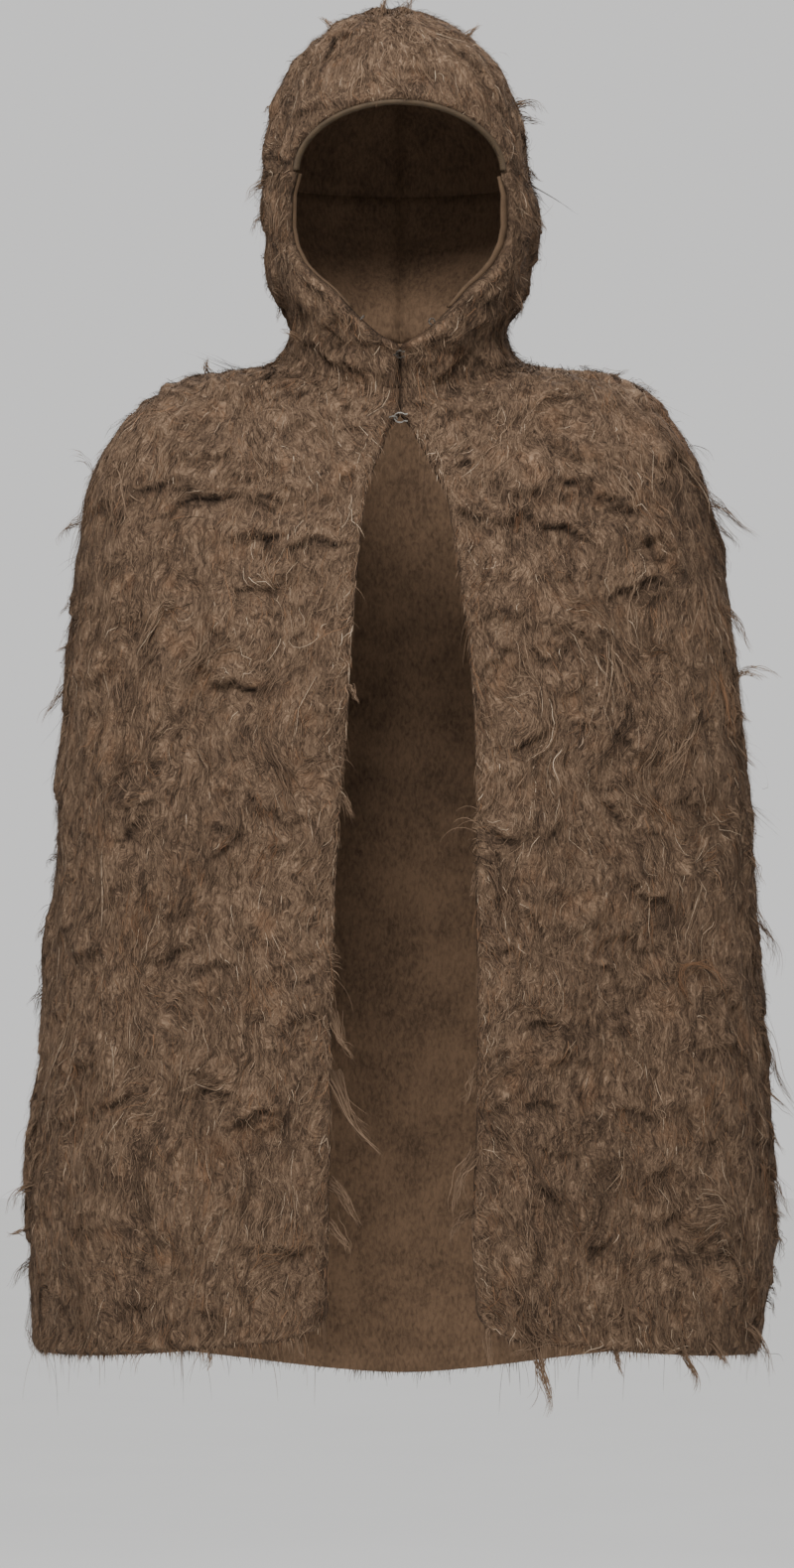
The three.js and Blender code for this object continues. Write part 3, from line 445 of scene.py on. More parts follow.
# One lattice of points for each cut piece, with what lies on it. A free edge is cut or turned,
# a seam joins another piece, and a closed edge meets its twin at the middle.
class Panel:
    def __init__(self, name, levels, turns, freeRows, freeColumns, closed=None):
        self.name, self.onHood = name, name.startswith("hood")
        self.wool = "hood_wool" if self.onHood else "shaggy_wool"
        self.base, self.out = skin(levels, turns), outward(levels, turns)
        self.rows, self.columns = levels.shape
        rows, columns = levels.shape
        down = np.linalg.norm(np.diff(self.base, axis=0), axis=2)
        along = np.linalg.norm(np.diff(self.base, axis=1), axis=2)
        fromLow = np.concatenate([np.zeros((1, columns)), np.cumsum(down, 0)])
        fromLeft = np.concatenate([np.zeros((rows, 1)), np.cumsum(along, 1)], 1)
        closed = np.zeros((rows, 1), bool) if closed is None else closed[:, None]
        self.free, self.seam, meet = np.full((3, rows, columns), farOff)
        for distance, isFree in ((fromLow, freeRows[0]), (fromLow[-1:] - fromLow, freeRows[1])):
            target = self.free if isFree else self.seam
            np.minimum(target, distance, out=target)
        for distance, isFree in ((fromLeft, freeColumns[0]), (fromLeft[:, -1:] - fromLeft, freeColumns[1])):
            self.free = np.minimum(self.free, np.where(closed | (not isFree), farOff, distance))
            self.seam = np.minimum(self.seam, np.where(closed | (not isFree), distance, farOff))
            meet = np.minimum(meet, np.where(closed & isFree, distance, farOff))
        height, self.shadow, self.rim = relief(self.base)
        # Painted shade along the closed front edge, where the two fronts meet.
        self.shadow = np.maximum(self.shadow, shell["meetShade"] * np.exp(-meet / shell["meetWidth"]))
        height = height * (0.35 + 0.65 * np.clip(self.seam / mat["fade"], 0, 1))
        edge = np.clip(np.minimum(self.free / shell["edgeRound"], meet / shell["meetRound"]), 0, 1)
        self.round = 1 - np.sqrt(1 - (1 - edge) ** 2)
        self.swell = shell["swell"] * (1 - np.clip((self.free - shell["swellFrom"]) / shell["swellOver"], 0, 1))
        self.top = (height * np.clip(self.free / 0.012, 0.2, 1) + self.swell - shell["under"]
                    - self.round * shell["tuck"])
        self.area = np.linalg.norm(np.cross(self.base[1:, :-1] - self.base[:-1, :-1],
                                            self.base[:-1, 1:] - self.base[:-1, :-1]), axis=2)
        fall = np.array([0, -0.2, -1.0])
        fall = unit(fall - self.out * (self.out @ fall)[..., None])
        angle = self.flowAngle()[..., None]
        flow = fall * np.cos(angle) + np.cross(self.out, fall) * np.sin(angle)
        self.all = np.concatenate([
            self.base, self.out, flow, np.gradient(self.base, axis=0), np.gradient(self.base, axis=1),
            np.stack([self.top, height, self.shadow, self.rim, np.minimum(self.free, 0.1)], -1)], 2)

    # The pile is brushed down, with swirls, eddies and small locks.
    def flowAngle(self):
        calm = 0.35 + 0.9 * np.clip(waves(self.base, 23, 0.12, 0.05, 8), 0, 1.5) ** 2
        wide = hair["swirl"] * waves(self.base, 21, 0.16, 0.07, 10)
        wide = wide + hair["spread"] * np.tanh(self.base[..., 0] / 0.08) * np.clip(-self.base[..., 2] / 0.2, 0, 1)
        return calm * (wide + hair["eddy"] * waves(self.base, 22, 0.05, 0.022, 12)) \
            + hair["lock"] * waves(self.base, 24, 0.022, 0.009, 12)

    def at(self, i, j):
        i0 = np.clip(i.astype(int), 0, self.rows - 2)
        j0 = np.clip(j.astype(int), 0, self.columns - 2)
        s, t = np.clip(i - i0, 0, 1)[:, None], np.clip(j - j0, 0, 1)[:, None]
        return ((1 - s) * ((1 - t) * self.all[i0, j0] + t * self.all[i0, j0 + 1])
                + s * ((1 - t) * self.all[i0 + 1, j0] + t * self.all[i0 + 1, j0 + 1]))


# Rows of points from one edge's turns to the other's. Ease draws them closer to the first.
def grid(levels, edgeTurns, otherTurns, columns, ease=0.0):
    share = np.linspace(0, 1, columns)[None, :] ** (1 + ease)
    turns = edgeTurns[:, None] * (1 - share) + otherTurns[:, None] * share
    return np.repeat(levels[:, None], columns, 1), turns


lattice = {"step": 0.0024, "front": 153, "back": 241, "hood": 105, "crownRows": 49, "crownColumns": 89}
capeRows = 8 * int(capeLength / lattice["step"] / 8) + 1
hoodRows = 4 * int(hoodLength / lattice["step"] / 4) + 1
capeLevels = capeAt(np.linspace(0, 1, capeRows) * capeLength)
hoodLevels = hoodAt(np.linspace(0, 1, hoodRows) * hoodLength)
print("form ready", capeRows, hoodRows)


sideWord = {-1: "_right", 1: "_left"}


# The wearer's right half is turned round, so that both halves face outward.
def halfPanel(name, side, levels, turns, freeRows, closed=None):
    if side < 0:
        levels, turns = levels[:, ::-1], turns[:, ::-1]
    return Panel(name + sideWord[side], levels, turns, freeRows, (side > 0, side < 0), closed)


def capeFront(side):
    edge = frontEdgeTurn(capeLevels, side)
    levels, turns = grid(capeLevels, edge, np.full(capeRows, side * sideSeamTurn), lattice["front"], 0.12)
    edgeZ = skin(capeLevels, edge)[:, 2]
    closed = np.interp(edgeZ, frontEdges[:, 0], frontEdges[:, 1]) <= 0
    return halfPanel("cape_front", side, levels, turns, (True, False), closed)


def capeBack():
    start = np.full(capeRows, sideSeamTurn)
    levels, turns = grid(capeLevels, start, 360 - start, lattice["back"])
    return Panel("cape_back", levels, turns, (True, False), (False, False))


def hoodSide(side):
    edge = faceEdgeTurn(hoodLevels, side)
    levels, turns = grid(hoodLevels, edge, np.full(hoodRows, side * 180.0), lattice["hood"], 0.15)
    closed = skin(hoodLevels, edge)[:, 2] < 0.008
    return halfPanel("hood_side", side, levels, turns, (False, False), closed)


# A crown half is drawn on the disc, between its seam, the brow, the middle and the back.
def hoodCrown(side):
    v = np.linspace(0, 1, lattice["crownRows"])[:, None]
    u = np.linspace(0, 1, lattice["crownColumns"])[None, :]
    start = float(faceEdgeTurn(np.array([float(crownLevel)]), 1)[0])
    lower = np.stack(discOf(crownLevel, start + (crownBackTurn - start) * u), -1)
    back = np.stack(discOf(crownLevel, crownBackTurn + (180 - crownBackTurn) * v), -1)
    arch = np.stack(discOf(*archPlace(v[:, 0], 1)), -1)[:, None]
    brow = arch[-1, 0, 1]
    centre = np.stack([0 * u, brow + (1 - brow) * u], -1)
    v3, u3 = v[..., None], u[..., None]
    low = lower[:, :1] * (1 - u3) + lower[:, -1:] * u3
    high = centre[:, :1] * (1 - u3) + centre[:, -1:] * u3
    disc = lower * (1 - v3) + centre * v3 + arch * (1 - u3) + back * u3 - (low * (1 - v3) + high * v3)
    levels, turns = onDisc(side * np.maximum(disc[..., 0], 1e-6), disc[..., 1])
    levels[0], levels[:, -1] = crownLevel, crownLevel
    return halfPanel("hood_crown", side, levels, turns, (False, False))


panels = [capeFront(-1), capeFront(1), capeBack(), hoodSide(-1), hoodSide(1), hoodCrown(-1), hoodCrown(1)]
print("lattices ready")


# A socket that takes sums, so that shading reads as arithmetic.
class Socket:
    def __init__(self, tree, output):
        self.tree, self.output = tree, output

    def node(self, kind, inputs=(), output=0, **settings):
        return makeNode(self.tree, kind, inputs, output, **settings)

    def maths(self, operation, other, flip=False):
        pair = (other, self) if flip else (self, other)
        return self.node("ShaderNodeMath", dict(enumerate(pair)), operation=operation)

    def __add__(self, other): return self.maths("ADD", other)
    def __radd__(self, other): return self.maths("ADD", other, True)
    def __sub__(self, other): return self.maths("SUBTRACT", other)
    def __rsub__(self, other): return self.maths("SUBTRACT", other, True)
    def __mul__(self, other): return self.maths("MULTIPLY", other)
    def __rmul__(self, other): return self.maths("MULTIPLY", other, True)


def makeNode(tree, kind, inputs=(), output=0, **settings):
    node = tree.nodes.new(kind)
    for key, value in settings.items():
        setattr(node, key, value)
    for key, value in dict(inputs).items():
        if isinstance(value, Socket):
            tree.links.new(value.output, node.inputs[key])
        else:
            node.inputs[key].default_value = value
    return Socket(tree, node.outputs[output])


# Places pressed along Z, so that a noise on them runs longer down the cloth.
def pressed(vector, share):
    return vector.node("ShaderNodeVectorMath", {0: vector, 1: (1, 1, share)}, operation="MULTIPLY")


def noise(vector, scale, detail=3.0, rough=0.55, bend=0.0):
    return vector.node("ShaderNodeTexNoise", {
        "Vector": vector, "Scale": scale, "Detail": detail, "Roughness": rough, "Distortion": bend})


def ramp(value, *stops):
    node = value.tree.nodes.new("ShaderNodeValToRGB")
    value.tree.links.new(value.output, node.inputs[0])
    marks = node.color_ramp.elements
    while len(marks) < len(stops):
        marks.new(1.0)
    for mark, (place, colour) in zip(marks, stops):
        mark.position = place
        mark.color = (*colour, 1) if isinstance(colour, tuple) else (colour, colour, colour, 1)
    return Socket(value.tree, node.outputs[0])


def blend(factor, a, b):
    ends = [end if isinstance(end, Socket) else (*end, 1) for end in (a, b)]
    return factor.node("ShaderNodeMix", {0: factor, 6: ends[0], 7: ends[1]}, output=2, data_type="RGBA")


def linear(red, green, blue):
    return tuple((c / 255 / 12.92) if c <= 10 else ((c / 255 + 0.055) / 1.055) ** 2.4 for c in (red, green, blue))


def material(name, build, **shader):
    made = bpy.data.materials.new(name)
    made.use_nodes = True
    tree = made.node_tree
    tree.nodes.clear()
    place = makeNode(tree, "ShaderNodeTexCoord", output="Object")
    parts = build(tree, place)
    fixed = {key.replace("_", " ").title().replace("Ior", "IOR"): value for key, value in shader.items()}
    surface = makeNode(tree, "ShaderNodeBsdfPrincipled", {**fixed, **parts})
    out = tree.nodes.new("ShaderNodeOutputMaterial")
    tree.links.new(surface.output, out.inputs[0])
    return made


def bump(height, strength, distance):
    return height.node("ShaderNodeBump", {"Height": height, "Strength": strength, "Distance": distance})


# Change these to recolour the wool.
wool = {
    # The first colour is the painted shade in cracks and under ledges.
    "crack": linear(25, 19, 15),
    "darkest": linear(40, 31, 24),
    "dark": linear(62, 49, 39),
    "middle": linear(92, 74, 59),
    "light": linear(124, 103, 84),
    "lightest": linear(164, 145, 124),
    "rustDark": linear(76, 54, 39),
    "rustLight": linear(122, 92, 68),
    "inside": linear(106, 85, 67),
}


def feltLook(tree, place):
    drift = place.node("ShaderNodeTexNoise", {"Vector": place, "Scale": 26.0, "Detail": 3.0}, output="Color")
    bent = drift.node("ShaderNodeVectorMath", {0: drift, 1: (0.05, 0.05, 0.02), 2: place}, operation="MULTIPLY_ADD")
    fibre = noise(pressed(bent, 0.16), 560, 3, 0.6, 0.4)
    fine = noise(pressed(bent, 0.2), 1500, 2, 0.6)
    tuft = noise(pressed(bent, 0.42), 120, 4, 0.6, 0.3)
    patch = noise(place, 24, 3)
    mixed = fibre * 0.36 + fine * 0.20 + tuft * 0.32 + patch * 0.12
    colour = ramp(mixed, (0.38, wool["darkest"]), (0.455, wool["dark"]), (0.53, wool["middle"]),
                  (0.63, wool["light"]))
    rusty = ramp(mixed, (0.38, wool["rustDark"]), (0.64, wool["rustLight"]))
    where = ramp(noise(place, 34, 4, 0.6), (0.54, 0.0), (0.70, 0.4))
    colour = blend(where, colour, rusty)
    # Painted shade: the shade attribute darkens the felt towards the crack colour under ledges, where the fronts
    # meet, along free edges and on the rim.
    shade = makeNode(tree, "ShaderNodeAttribute", output="Fac", attribute_name="shade")
    colour = blend(shade, colour, wool["crack"])
    height = fibre * 0.5 + tuft * 1.0 + fine * 0.2
    return {"Base Color": colour, "Normal": bump(height, 0.9, 0.003),
            "Roughness": ramp(fibre, (0.3, 0.95), (0.8, 0.82))}


# A strand's map holds its tone across and its length along. Tones above 0.8 are rust.
def furLook(tree, place):
    strand = makeNode(tree, "ShaderNodeUVMap", uv_map="OFBake")
    split = makeNode(tree, "ShaderNodeSeparateXYZ", {0: strand})
    along = makeNode(tree, "ShaderNodeSeparateXYZ", {0: strand}, output=1)
    # The lowest tones, which the ledges' painted shade brings, run to the crack colour.
    colour = ramp(split, (0.0, wool["crack"]), (0.14, wool["darkest"]), (0.27, wool["dark"]),
                  (0.47, wool["middle"]), (0.66, wool["light"]), (0.80, wool["lightest"]),
                  (0.81, wool["rustDark"]), (1.0, wool["rustLight"]))
    # Strands are darker towards the root, a painted shade deep in the pile.
    depth = ramp(along, (0.0, 0.55), (0.3, 0.9), (1.0, 1.0))
    return {"Base Color": blend(depth, wool["darkest"], colour)}


def insideLook(tree, place):
    fibre = noise(pressed(place, 0.5), 380, 4, 0.6, 0.6)
    patch = noise(place, 30, 3)
    colour = ramp(fibre * 0.6 + patch * 0.4, (0.3, wool["dark"]), (0.62, wool["inside"]), (0.85, wool["middle"]))
    return {"Base Color": colour, "Normal": bump(fibre, 0.6, 0.001)}


feltMaterial = material("felt", feltLook, specular_ior_level=0.08)
furMaterial = material("fur", furLook, roughness=0.9, specular_ior_level=0.1)
insideMaterial = material("inside", insideLook, roughness=0.95, specular_ior_level=0.08)


# The top of the hood leans to the wearer's right.
def leaned(points):
    share = np.clip((points[:, 2] - rings[crownLevel, zFront]) / crownHeight, 0, 1)
    return points + np.outer(crownLean * share ** 2, [1, 0, 0])


def added(name, data):
    made = bpy.data.objects.new(name, data)
    bpy.context.scene.collection.objects.link(made)
    return made


def meshObject(name, vertices, faces, materials):
    mesh = bpy.data.meshes.new(name)
    mesh.from_pydata(leaned(np.asarray(vertices)).tolist(), [], faces)
    mesh.update()
    for one in materials:
        mesh.materials.append(one)
    mesh.polygons.foreach_set("use_smooth", np.ones(len(mesh.polygons), bool))
    made = added(name, mesh)
    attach(made, "root")
    return made


# The places round a sheet, once round.
def border(index):
    return np.concatenate([index[0, :-1], index[:-1, -1], index[-1, :0:-1], index[:0:-1, 0]])


# The faces of a coarse sheet whose border keeps every point of the fine one.
def coarseFaces(index, step):
    rows, columns = index.shape
    faces = []
    for i in range(0, rows - 1, step):
        for j in range(0, columns - 1, step):
            top, right = i + step, j + step
            low = index[i, j:right:1 if i == 0 else step]
            far = index[i:top:1 if right == columns - 1 else step, right]
            high = index[top, right:j:-1 if top == rows - 1 else -step]
            near = index[top:i:-1 if j == 0 else -step, j]
            faces.append(np.concatenate([low, far, high, near])[::-1].tolist())
    return faces


# A thin closed shell under the pile. Its outer face follows the relief, its edges are round,
# and its inner face is coarser.
def clothShell(panel, rowStep, columnStep, innerStep):
    pick = np.ix_(np.arange(0, panel.rows, rowStep), np.arange(0, panel.columns, columnStep))
    top = panel.top[pick][..., None]
    thick = (shell["under"] + shell["thick"] + panel.swell * 0.5 - panel.round * shell["innerTuck"])[pick][..., None]
    base, out = panel.base[pick], panel.out[pick]
    rows, columns = base.shape[:2]
    index = np.arange(rows * columns).reshape(rows, columns)
    kept = np.zeros((rows, columns), bool)
    kept[::innerStep, ::innerStep] = kept[[0, -1], :] = kept[:, [0, -1]] = True
    innerIndex = np.full((rows, columns), -1)
    innerIndex[kept] = index.size + np.arange(kept.sum())
    front = np.stack([index[:-1, :-1], index[:-1, 1:], index[1:, 1:], index[1:, :-1]], -1).reshape(-1, 4)
    ring, inner = border(index), border(innerIndex)
    sides = np.stack([np.roll(ring, -1), ring, inner, np.roll(inner, -1)], -1)
    back = coarseFaces(innerIndex, innerStep)
    faces = front.tolist() + sides.tolist() + back
    vertices = np.concatenate([(base + out * top).reshape(-1, 3), (base - out * thick)[kept]])
    made = meshObject(panel.name + "_cloth", vertices.tolist(), faces, [feltMaterial, insideMaterial])
    mesh = made.data
    slots = np.zeros(len(faces), np.int32)
    slots[len(front) + len(sides):] = 1
    mesh.polygons.foreach_set("material_index", slots)
    smooth = np.ones(len(faces), bool)
    smooth[len(front):len(front) + len(sides)] = border(panel.seam[pick]) > 0.004
    mesh.polygons.foreach_set("use_smooth", smooth)
    # Painted shade for the felt: half strength on the inner points, which darkens the rim faces, and on the outer
    # face the ledges' painted shade, the painted shade where the fronts meet and a painted shade along free edges.
    shade = np.full(len(vertices), 0.5, np.float32)
    edgeShade = shell["edgeShade"] * np.exp(-(panel.free / shell["edgeWidth"]) ** 2)
    shade[:index.size] = np.maximum(panel.shadow, edgeShade)[pick].ravel()
    mesh.attributes.new("shade", "FLOAT", "POINT").data.foreach_set("value", shade)
    # The two faces and the rim each have their own part of the map.
    v, u = np.meshgrid(np.linspace(0.01, 0.99, rows), np.linspace(0, 1, columns), indexing="ij")
    spots = np.concatenate([np.stack([0.01 + 0.75 * u, v], -1).reshape(-1, 2),
                            np.stack([0.80 + 0.19 * u, v], -1)[kept]])
    uv = spots[np.concatenate([front.ravel(), sides.ravel(), np.concatenate(back)])]
    along = np.linspace(0.01, 0.99, len(ring) + 1)
    rim = uv[front.size:front.size + sides.size].reshape(-1, 4, 2)
    rim[..., 1] = np.stack([along[1:], along[:-1], along[:-1], along[1:]], -1)
    rim[..., 0] = [0.775, 0.775, 0.785, 0.785]
    mesh.uv_layers.new(name="OFBake").data.foreach_set("uv", uv.astype(np.float32).ravel())
    return made


# Each kind of strand, in metres: its length and how that varies, its width, the points on its
# line, how far it stands off, and how it curls and turns. Loose is the share that stands out and
# light the share that is paler. Tufts and ropes grow in groups, set apart across and along.
fur = {
    "fuzz": {"length": 0.012, "spread": 0.35, "width": 0.00046, "points": 3, "stand": 0.0009,
             "curl": 0.45, "turn": 0.17, "loose": 0.12, "light": 0.13},
    "fibre": {"length": 0.027, "spread": 0.35, "width": 0.00034, "points": 5, "stand": 0.0012,
              "curl": 0.65, "turn": 0.14, "loose": 0.08},
    "lip": {"length": 0.011, "spread": 0.25, "width": 0.00042, "points": 4, "stand": 0.0012,
            "curl": 1.2, "turn": 0.45},
    "wisp": {"length": 0.024, "spread": 0.45, "width": 0.00036, "points": 8, "stand": 0.0035,
             "curl": 2.0, "turn": 0.5, "past": 0.9},
    "edge": {"length": 0.012, "spread": 0.35, "width": 0.00045, "points": 4, "stand": 0.0020,
             "curl": 0.9, "turn": 0.5, "loose": 0.3, "past": 0.48},
    "tuft": {"length": 0.026, "spread": 0.30, "width": 0.00040, "points": 8, "stand": 0.0026,
             "curl": 1.5, "turn": 0.1, "light": 0.13, "group": 7, "apart": (0.0016, 0.0016)},
    "rope": {"length": 0.058, "spread": 0.30, "width": 0.00052, "points": 12, "stand": 0.0024,
             "curl": 0.5, "turn": 0.2, "light": 0.13, "group": 11, "apart": (0.0013, 0.006), "clumps": 0.11},
}
# shadowTone and the lip highlight tone set how much painted shade and painted highlight the ledges give the strands.
growth = {
    "hoodLength": 0.72, "past": 0.3, "hoodPast": 0.1, "looseLow": 0.002, "looseHigh": 0.0055,
    "sunk": 0.0006, "weight": -0.35, "onEdge": 0.003, "stopShadow": 0.45, "stopped": 0.12,
    "tone": 0.39, "clumps": 0.09, "single": 0.06, "light": 0.20, "shadowTone": -0.36, "rimTone": 0.07,
}


# Tones by place, by group and by strand, and which strands are rust.
def strandTones(rng, spec, here, owner, many):
    n, root = len(owner), here[:, placeAt]
    tone = growth["tone"] + 0.035 * waves(root, 51, 0.30, 0.09, 8) + 0.070 * waves(root, 24, 0.022, 0.009, 12)
    tone += rng.normal(0, spec.get("clumps", growth["clumps"]), many)[owner] + rng.normal(0, growth["single"], n)
    # Strands on raised pile are painted lighter and those in hollows darker: painted light and shade.
    tone += 0.055 * np.clip(here[:, heightAt] / 0.005, -1, 1)
    light = rng.random(n) < spec.get("light", growth["light"])
    tone = np.where(light, tone + rng.uniform(0.06, 0.26, n), np.minimum(tone, 0.6))
    first = np.unique(owner, return_index=True)[1]
    rusty = 0.04 + 0.15 * np.clip(waves(root[first], 61, 0.12, 0.04, 8) - 0.2, 0, 1)
    return tone, (rng.random(many) < rusty)[owner]


# Strands that lie along the surface: each keeps to its panel, turns with the pile, stands a
# little off it and stops at a ledge. Past an edge it goes a short way and droops.
def grow(rng, panel, i, j, kind, owner):
    spec = fur[kind]
    n, count, many = len(i), spec["points"], owner.max() + 1
    past = growth["hoodPast"] if panel.onHood else spec.get("past", growth["past"])
    angle = rng.normal(0, spec["turn"], many)[owner] + rng.normal(0, 0.09, n)
    curl = rng.normal(0, spec["curl"], many)[owner] + rng.normal(0, 0.2, n)
    length = spec["length"] * np.clip(np.exp(rng.normal(0, spec["spread"], many)), 0.4, 2.2)[owner]
    length = length * rng.uniform(0.8, 1.1, n) * (growth["hoodLength"] if panel.onHood else 1)
    stand = spec["stand"] * rng.exponential(1, many)[owner] * rng.uniform(0.6, 1.3, n)
    loose = rng.random(n) < spec.get("loose", 0)
    stand = np.where(loose, rng.uniform(growth["looseLow"], growth["looseHigh"], n), stand)
    wobble = rng.uniform(0, wholeTurn, n)
    step = length / (count - 1)
    apart = rng.normal(0, 1, (n, 2)) * spec.get("apart", 0)
    points, tones = np.empty((n, count, 3)), np.empty((n, count))
    outside, stopped = np.zeros((2, n), bool)
    here = panel.at(i, j)
    rootShadow, rootOut = here[:, shadowAt], here[:, outAt]
    tone, rust = strandTones(rng, spec, here, owner, many)
    for k in range(count):
        share = k / (count - 1)
        base, out, flow = here[:, placeAt], unit(here[:, outAt]), unit(here[:, flowAt])
        rise = stand * (share ** 0.7) * (1 - 0.5 * share) * 1.6 - growth["sunk"] * (1 - share)
        close = (1 - share) ** 0.8 if kind == "tuft" else 1 - 0.5 * share
        place = base + out * (here[:, topAt] + rise)[:, None]
        place = place + (np.cross(out, flow) * apart[:, :1] + flow * apart[:, 1:]) * close
        if k:
            onEdge = here[:, freeAt] < growth["onEdge"]
            over = np.where(onEdge, 0, 0.45)[:, None]
            hang = unit(heading + np.array([0, 0, growth["weight"]]) * (0.4 + share) + out * over)
            hanging = points[:, k - 1] + hang * (step * np.where(onEdge, past, 0.9))[:, None]
            place = np.where(outside[:, None], hanging, place)
        heading = unit(place - points[:, k - 1]) if k else flow
        points[:, k] = place
        # Each point's tone takes painted shade from the ledges' shadows and a painted highlight from their lit lips.
        tones[:, k] = tone + growth["shadowTone"] * here[:, shadowAt] + growth["rimTone"] * here[:, lipHighlightAt]
        if k == count - 1:
            break
        # The way on the surface becomes steps in rows and columns.
        turned = angle + curl * (share - 0.25) + 0.3 * spec["curl"] * np.sin(wobble + share * 6)
        way = flow * np.cos(turned)[:, None] + np.cross(out, flow) * np.sin(turned)[:, None]
        rowWay, columnWay = here[:, rowAt], here[:, columnAt]
        rr, rc, cc = ((a * b).sum(1) for a, b in ((rowWay, rowWay), (rowWay, columnWay), (columnWay, columnWay)))
        wr, wc = (way * rowWay).sum(1), (way * columnWay).sum(1)
        pace = np.where(stopped, growth["stopped"], 1.0) * step / np.maximum(rr * cc - rc * rc, 1e-16)
        i = i + (wr * cc - wc * rc) * pace
        j = j + (wc * rr - wr * rc) * pace
        outside = outside | (i < 0) | (j < 0) | (i > panel.rows - 1) | (j > panel.columns - 1)
        here = panel.at(np.clip(i, 0, panel.rows - 1), np.clip(j, 0, panel.columns - 1))
        stopped = stopped | ((here[:, shadowAt] > growth["stopShadow"]) & (rootShadow < 0.3) & (kind != "wisp"))
    tones = np.clip(tones, 0.01, 0.79)
    rusty = 0.82 + 0.17 * np.clip((tones - 0.15) / 0.55, 0, 1)
    return points, rootOut, np.where(rust[:, None], rusty, tones), spec["width"] * rng.uniform(0.7, 1.3, n)


# Flat tapering ribbons from strand lines. Their UV is tone across and length along.
def ribbons(rng, points, out, tones, width):
    n, count, _ = points.shape
    heading = unit(np.gradient(points, axis=1))
    tilt = rng.uniform(-0.6, 0.6, n)[:, None, None]
    across = unit(np.cross(heading, unit(out)[:, None]))
    across = across * np.cos(tilt) + np.cross(across, heading) * np.sin(tilt)
    share = np.linspace(0, 1, count)
    taper = (1 - share ** 2.2) * 0.85 + 0.15
    half = across * (width[:, None] * taper / 2)[..., None]
    body = np.stack([points - half, points + half], 2)[:, :-1].reshape(n, -1, 3)
    vertices = np.concatenate([body, points[:, -1:]], 1)
    per = vertices.shape[1]
    strip = np.array([[2 * k, 2 * k + 1, 2 * k + 3, 2 * k + 2] for k in range(count - 2)]).ravel()
    loops = np.arange(n)[:, None] * per + np.concatenate([strip, [per - 3, per - 2, per - 1]])[None]
    sizes = np.array([4] * (count - 2) + [3])
    u = np.concatenate([np.repeat(tones[:, :-1], 2, 1), tones[:, -1:]], 1)
    u[:, 0:-1:2] -= 0.003
    u[:, 1:-1:2] += 0.003
    v = np.concatenate([np.repeat(share[:-1], 2), [1.0]])
    uv = np.stack([u, np.broadcast_to(0.01 + 0.98 * v, (n, per))], -1)
    return vertices.reshape(-1, 3), loops.ravel(), np.tile(sizes, n), uv.reshape(-1, 2)


def furObject(name, bundles):
    starts = np.cumsum([0] + [len(bundle[0]) for bundle in bundles])
    vertices, loops, sizes, uvs = (np.concatenate(parts) for parts in zip(*(
        (points, corners + start, sizes, uvs) for (points, corners, sizes, uvs), start in zip(bundles, starts))))
    vertices, uvs = leaned(vertices), uvs[loops]
    mesh = bpy.data.meshes.new(name)
    mesh.vertices.add(len(vertices))
    mesh.vertices.foreach_set("co", vertices.astype(np.float32).ravel())
    mesh.loops.add(len(loops))
    mesh.loops.foreach_set("vertex_index", loops.astype(np.int32))
    mesh.polygons.add(len(sizes))
    mesh.polygons.foreach_set("loop_start", np.concatenate([[0], np.cumsum(sizes)[:-1]]).astype(np.int32))
    mesh.uv_layers.new(name="OFBake").data.foreach_set("uv", uvs.astype(np.float32).ravel())
    mesh.update(calc_edges=True)
    mesh.materials.append(furMaterial)
    made = added(name, mesh)
    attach(made, "root")
    print(name, int((sizes - 2).sum()), "triangles")
    return made


# Random rows and columns, by area and weight.
def scatter(rng, panel, count, weight):
    chance = np.cumsum((panel.area * weight[:-1, :-1]).ravel())
    cell = np.searchsorted(chance, rng.random(count) * chance[-1])
    i, j = np.unravel_index(np.minimum(cell, len(chance) - 1), panel.area.shape)
    return i + rng.random(count), j + rng.random(count)


# Strands on each cut piece, in the order of the kinds above. A tuft or a rope counts once.
counts = {
    "cape_front_right": (21000, 8400, 2400, 440, 1500, 110, 44),
    "cape_front_left": (21000, 8400, 2400, 440, 1500, 100, 80),
    "cape_back": (26000, 7800, 1800, 300, 700, 80, 50),
    "hood_side_right": (5600, 2200, 300, 160, 300, 30, 5),
    "hood_side_left": (5600, 2200, 300, 160, 300, 30, 5),
    "hood_crown_right": (6400, 2500, 300, 120, 60, 34, 6),
    "hood_crown_left": (6400, 2500, 300, 120, 60, 34, 6),
}

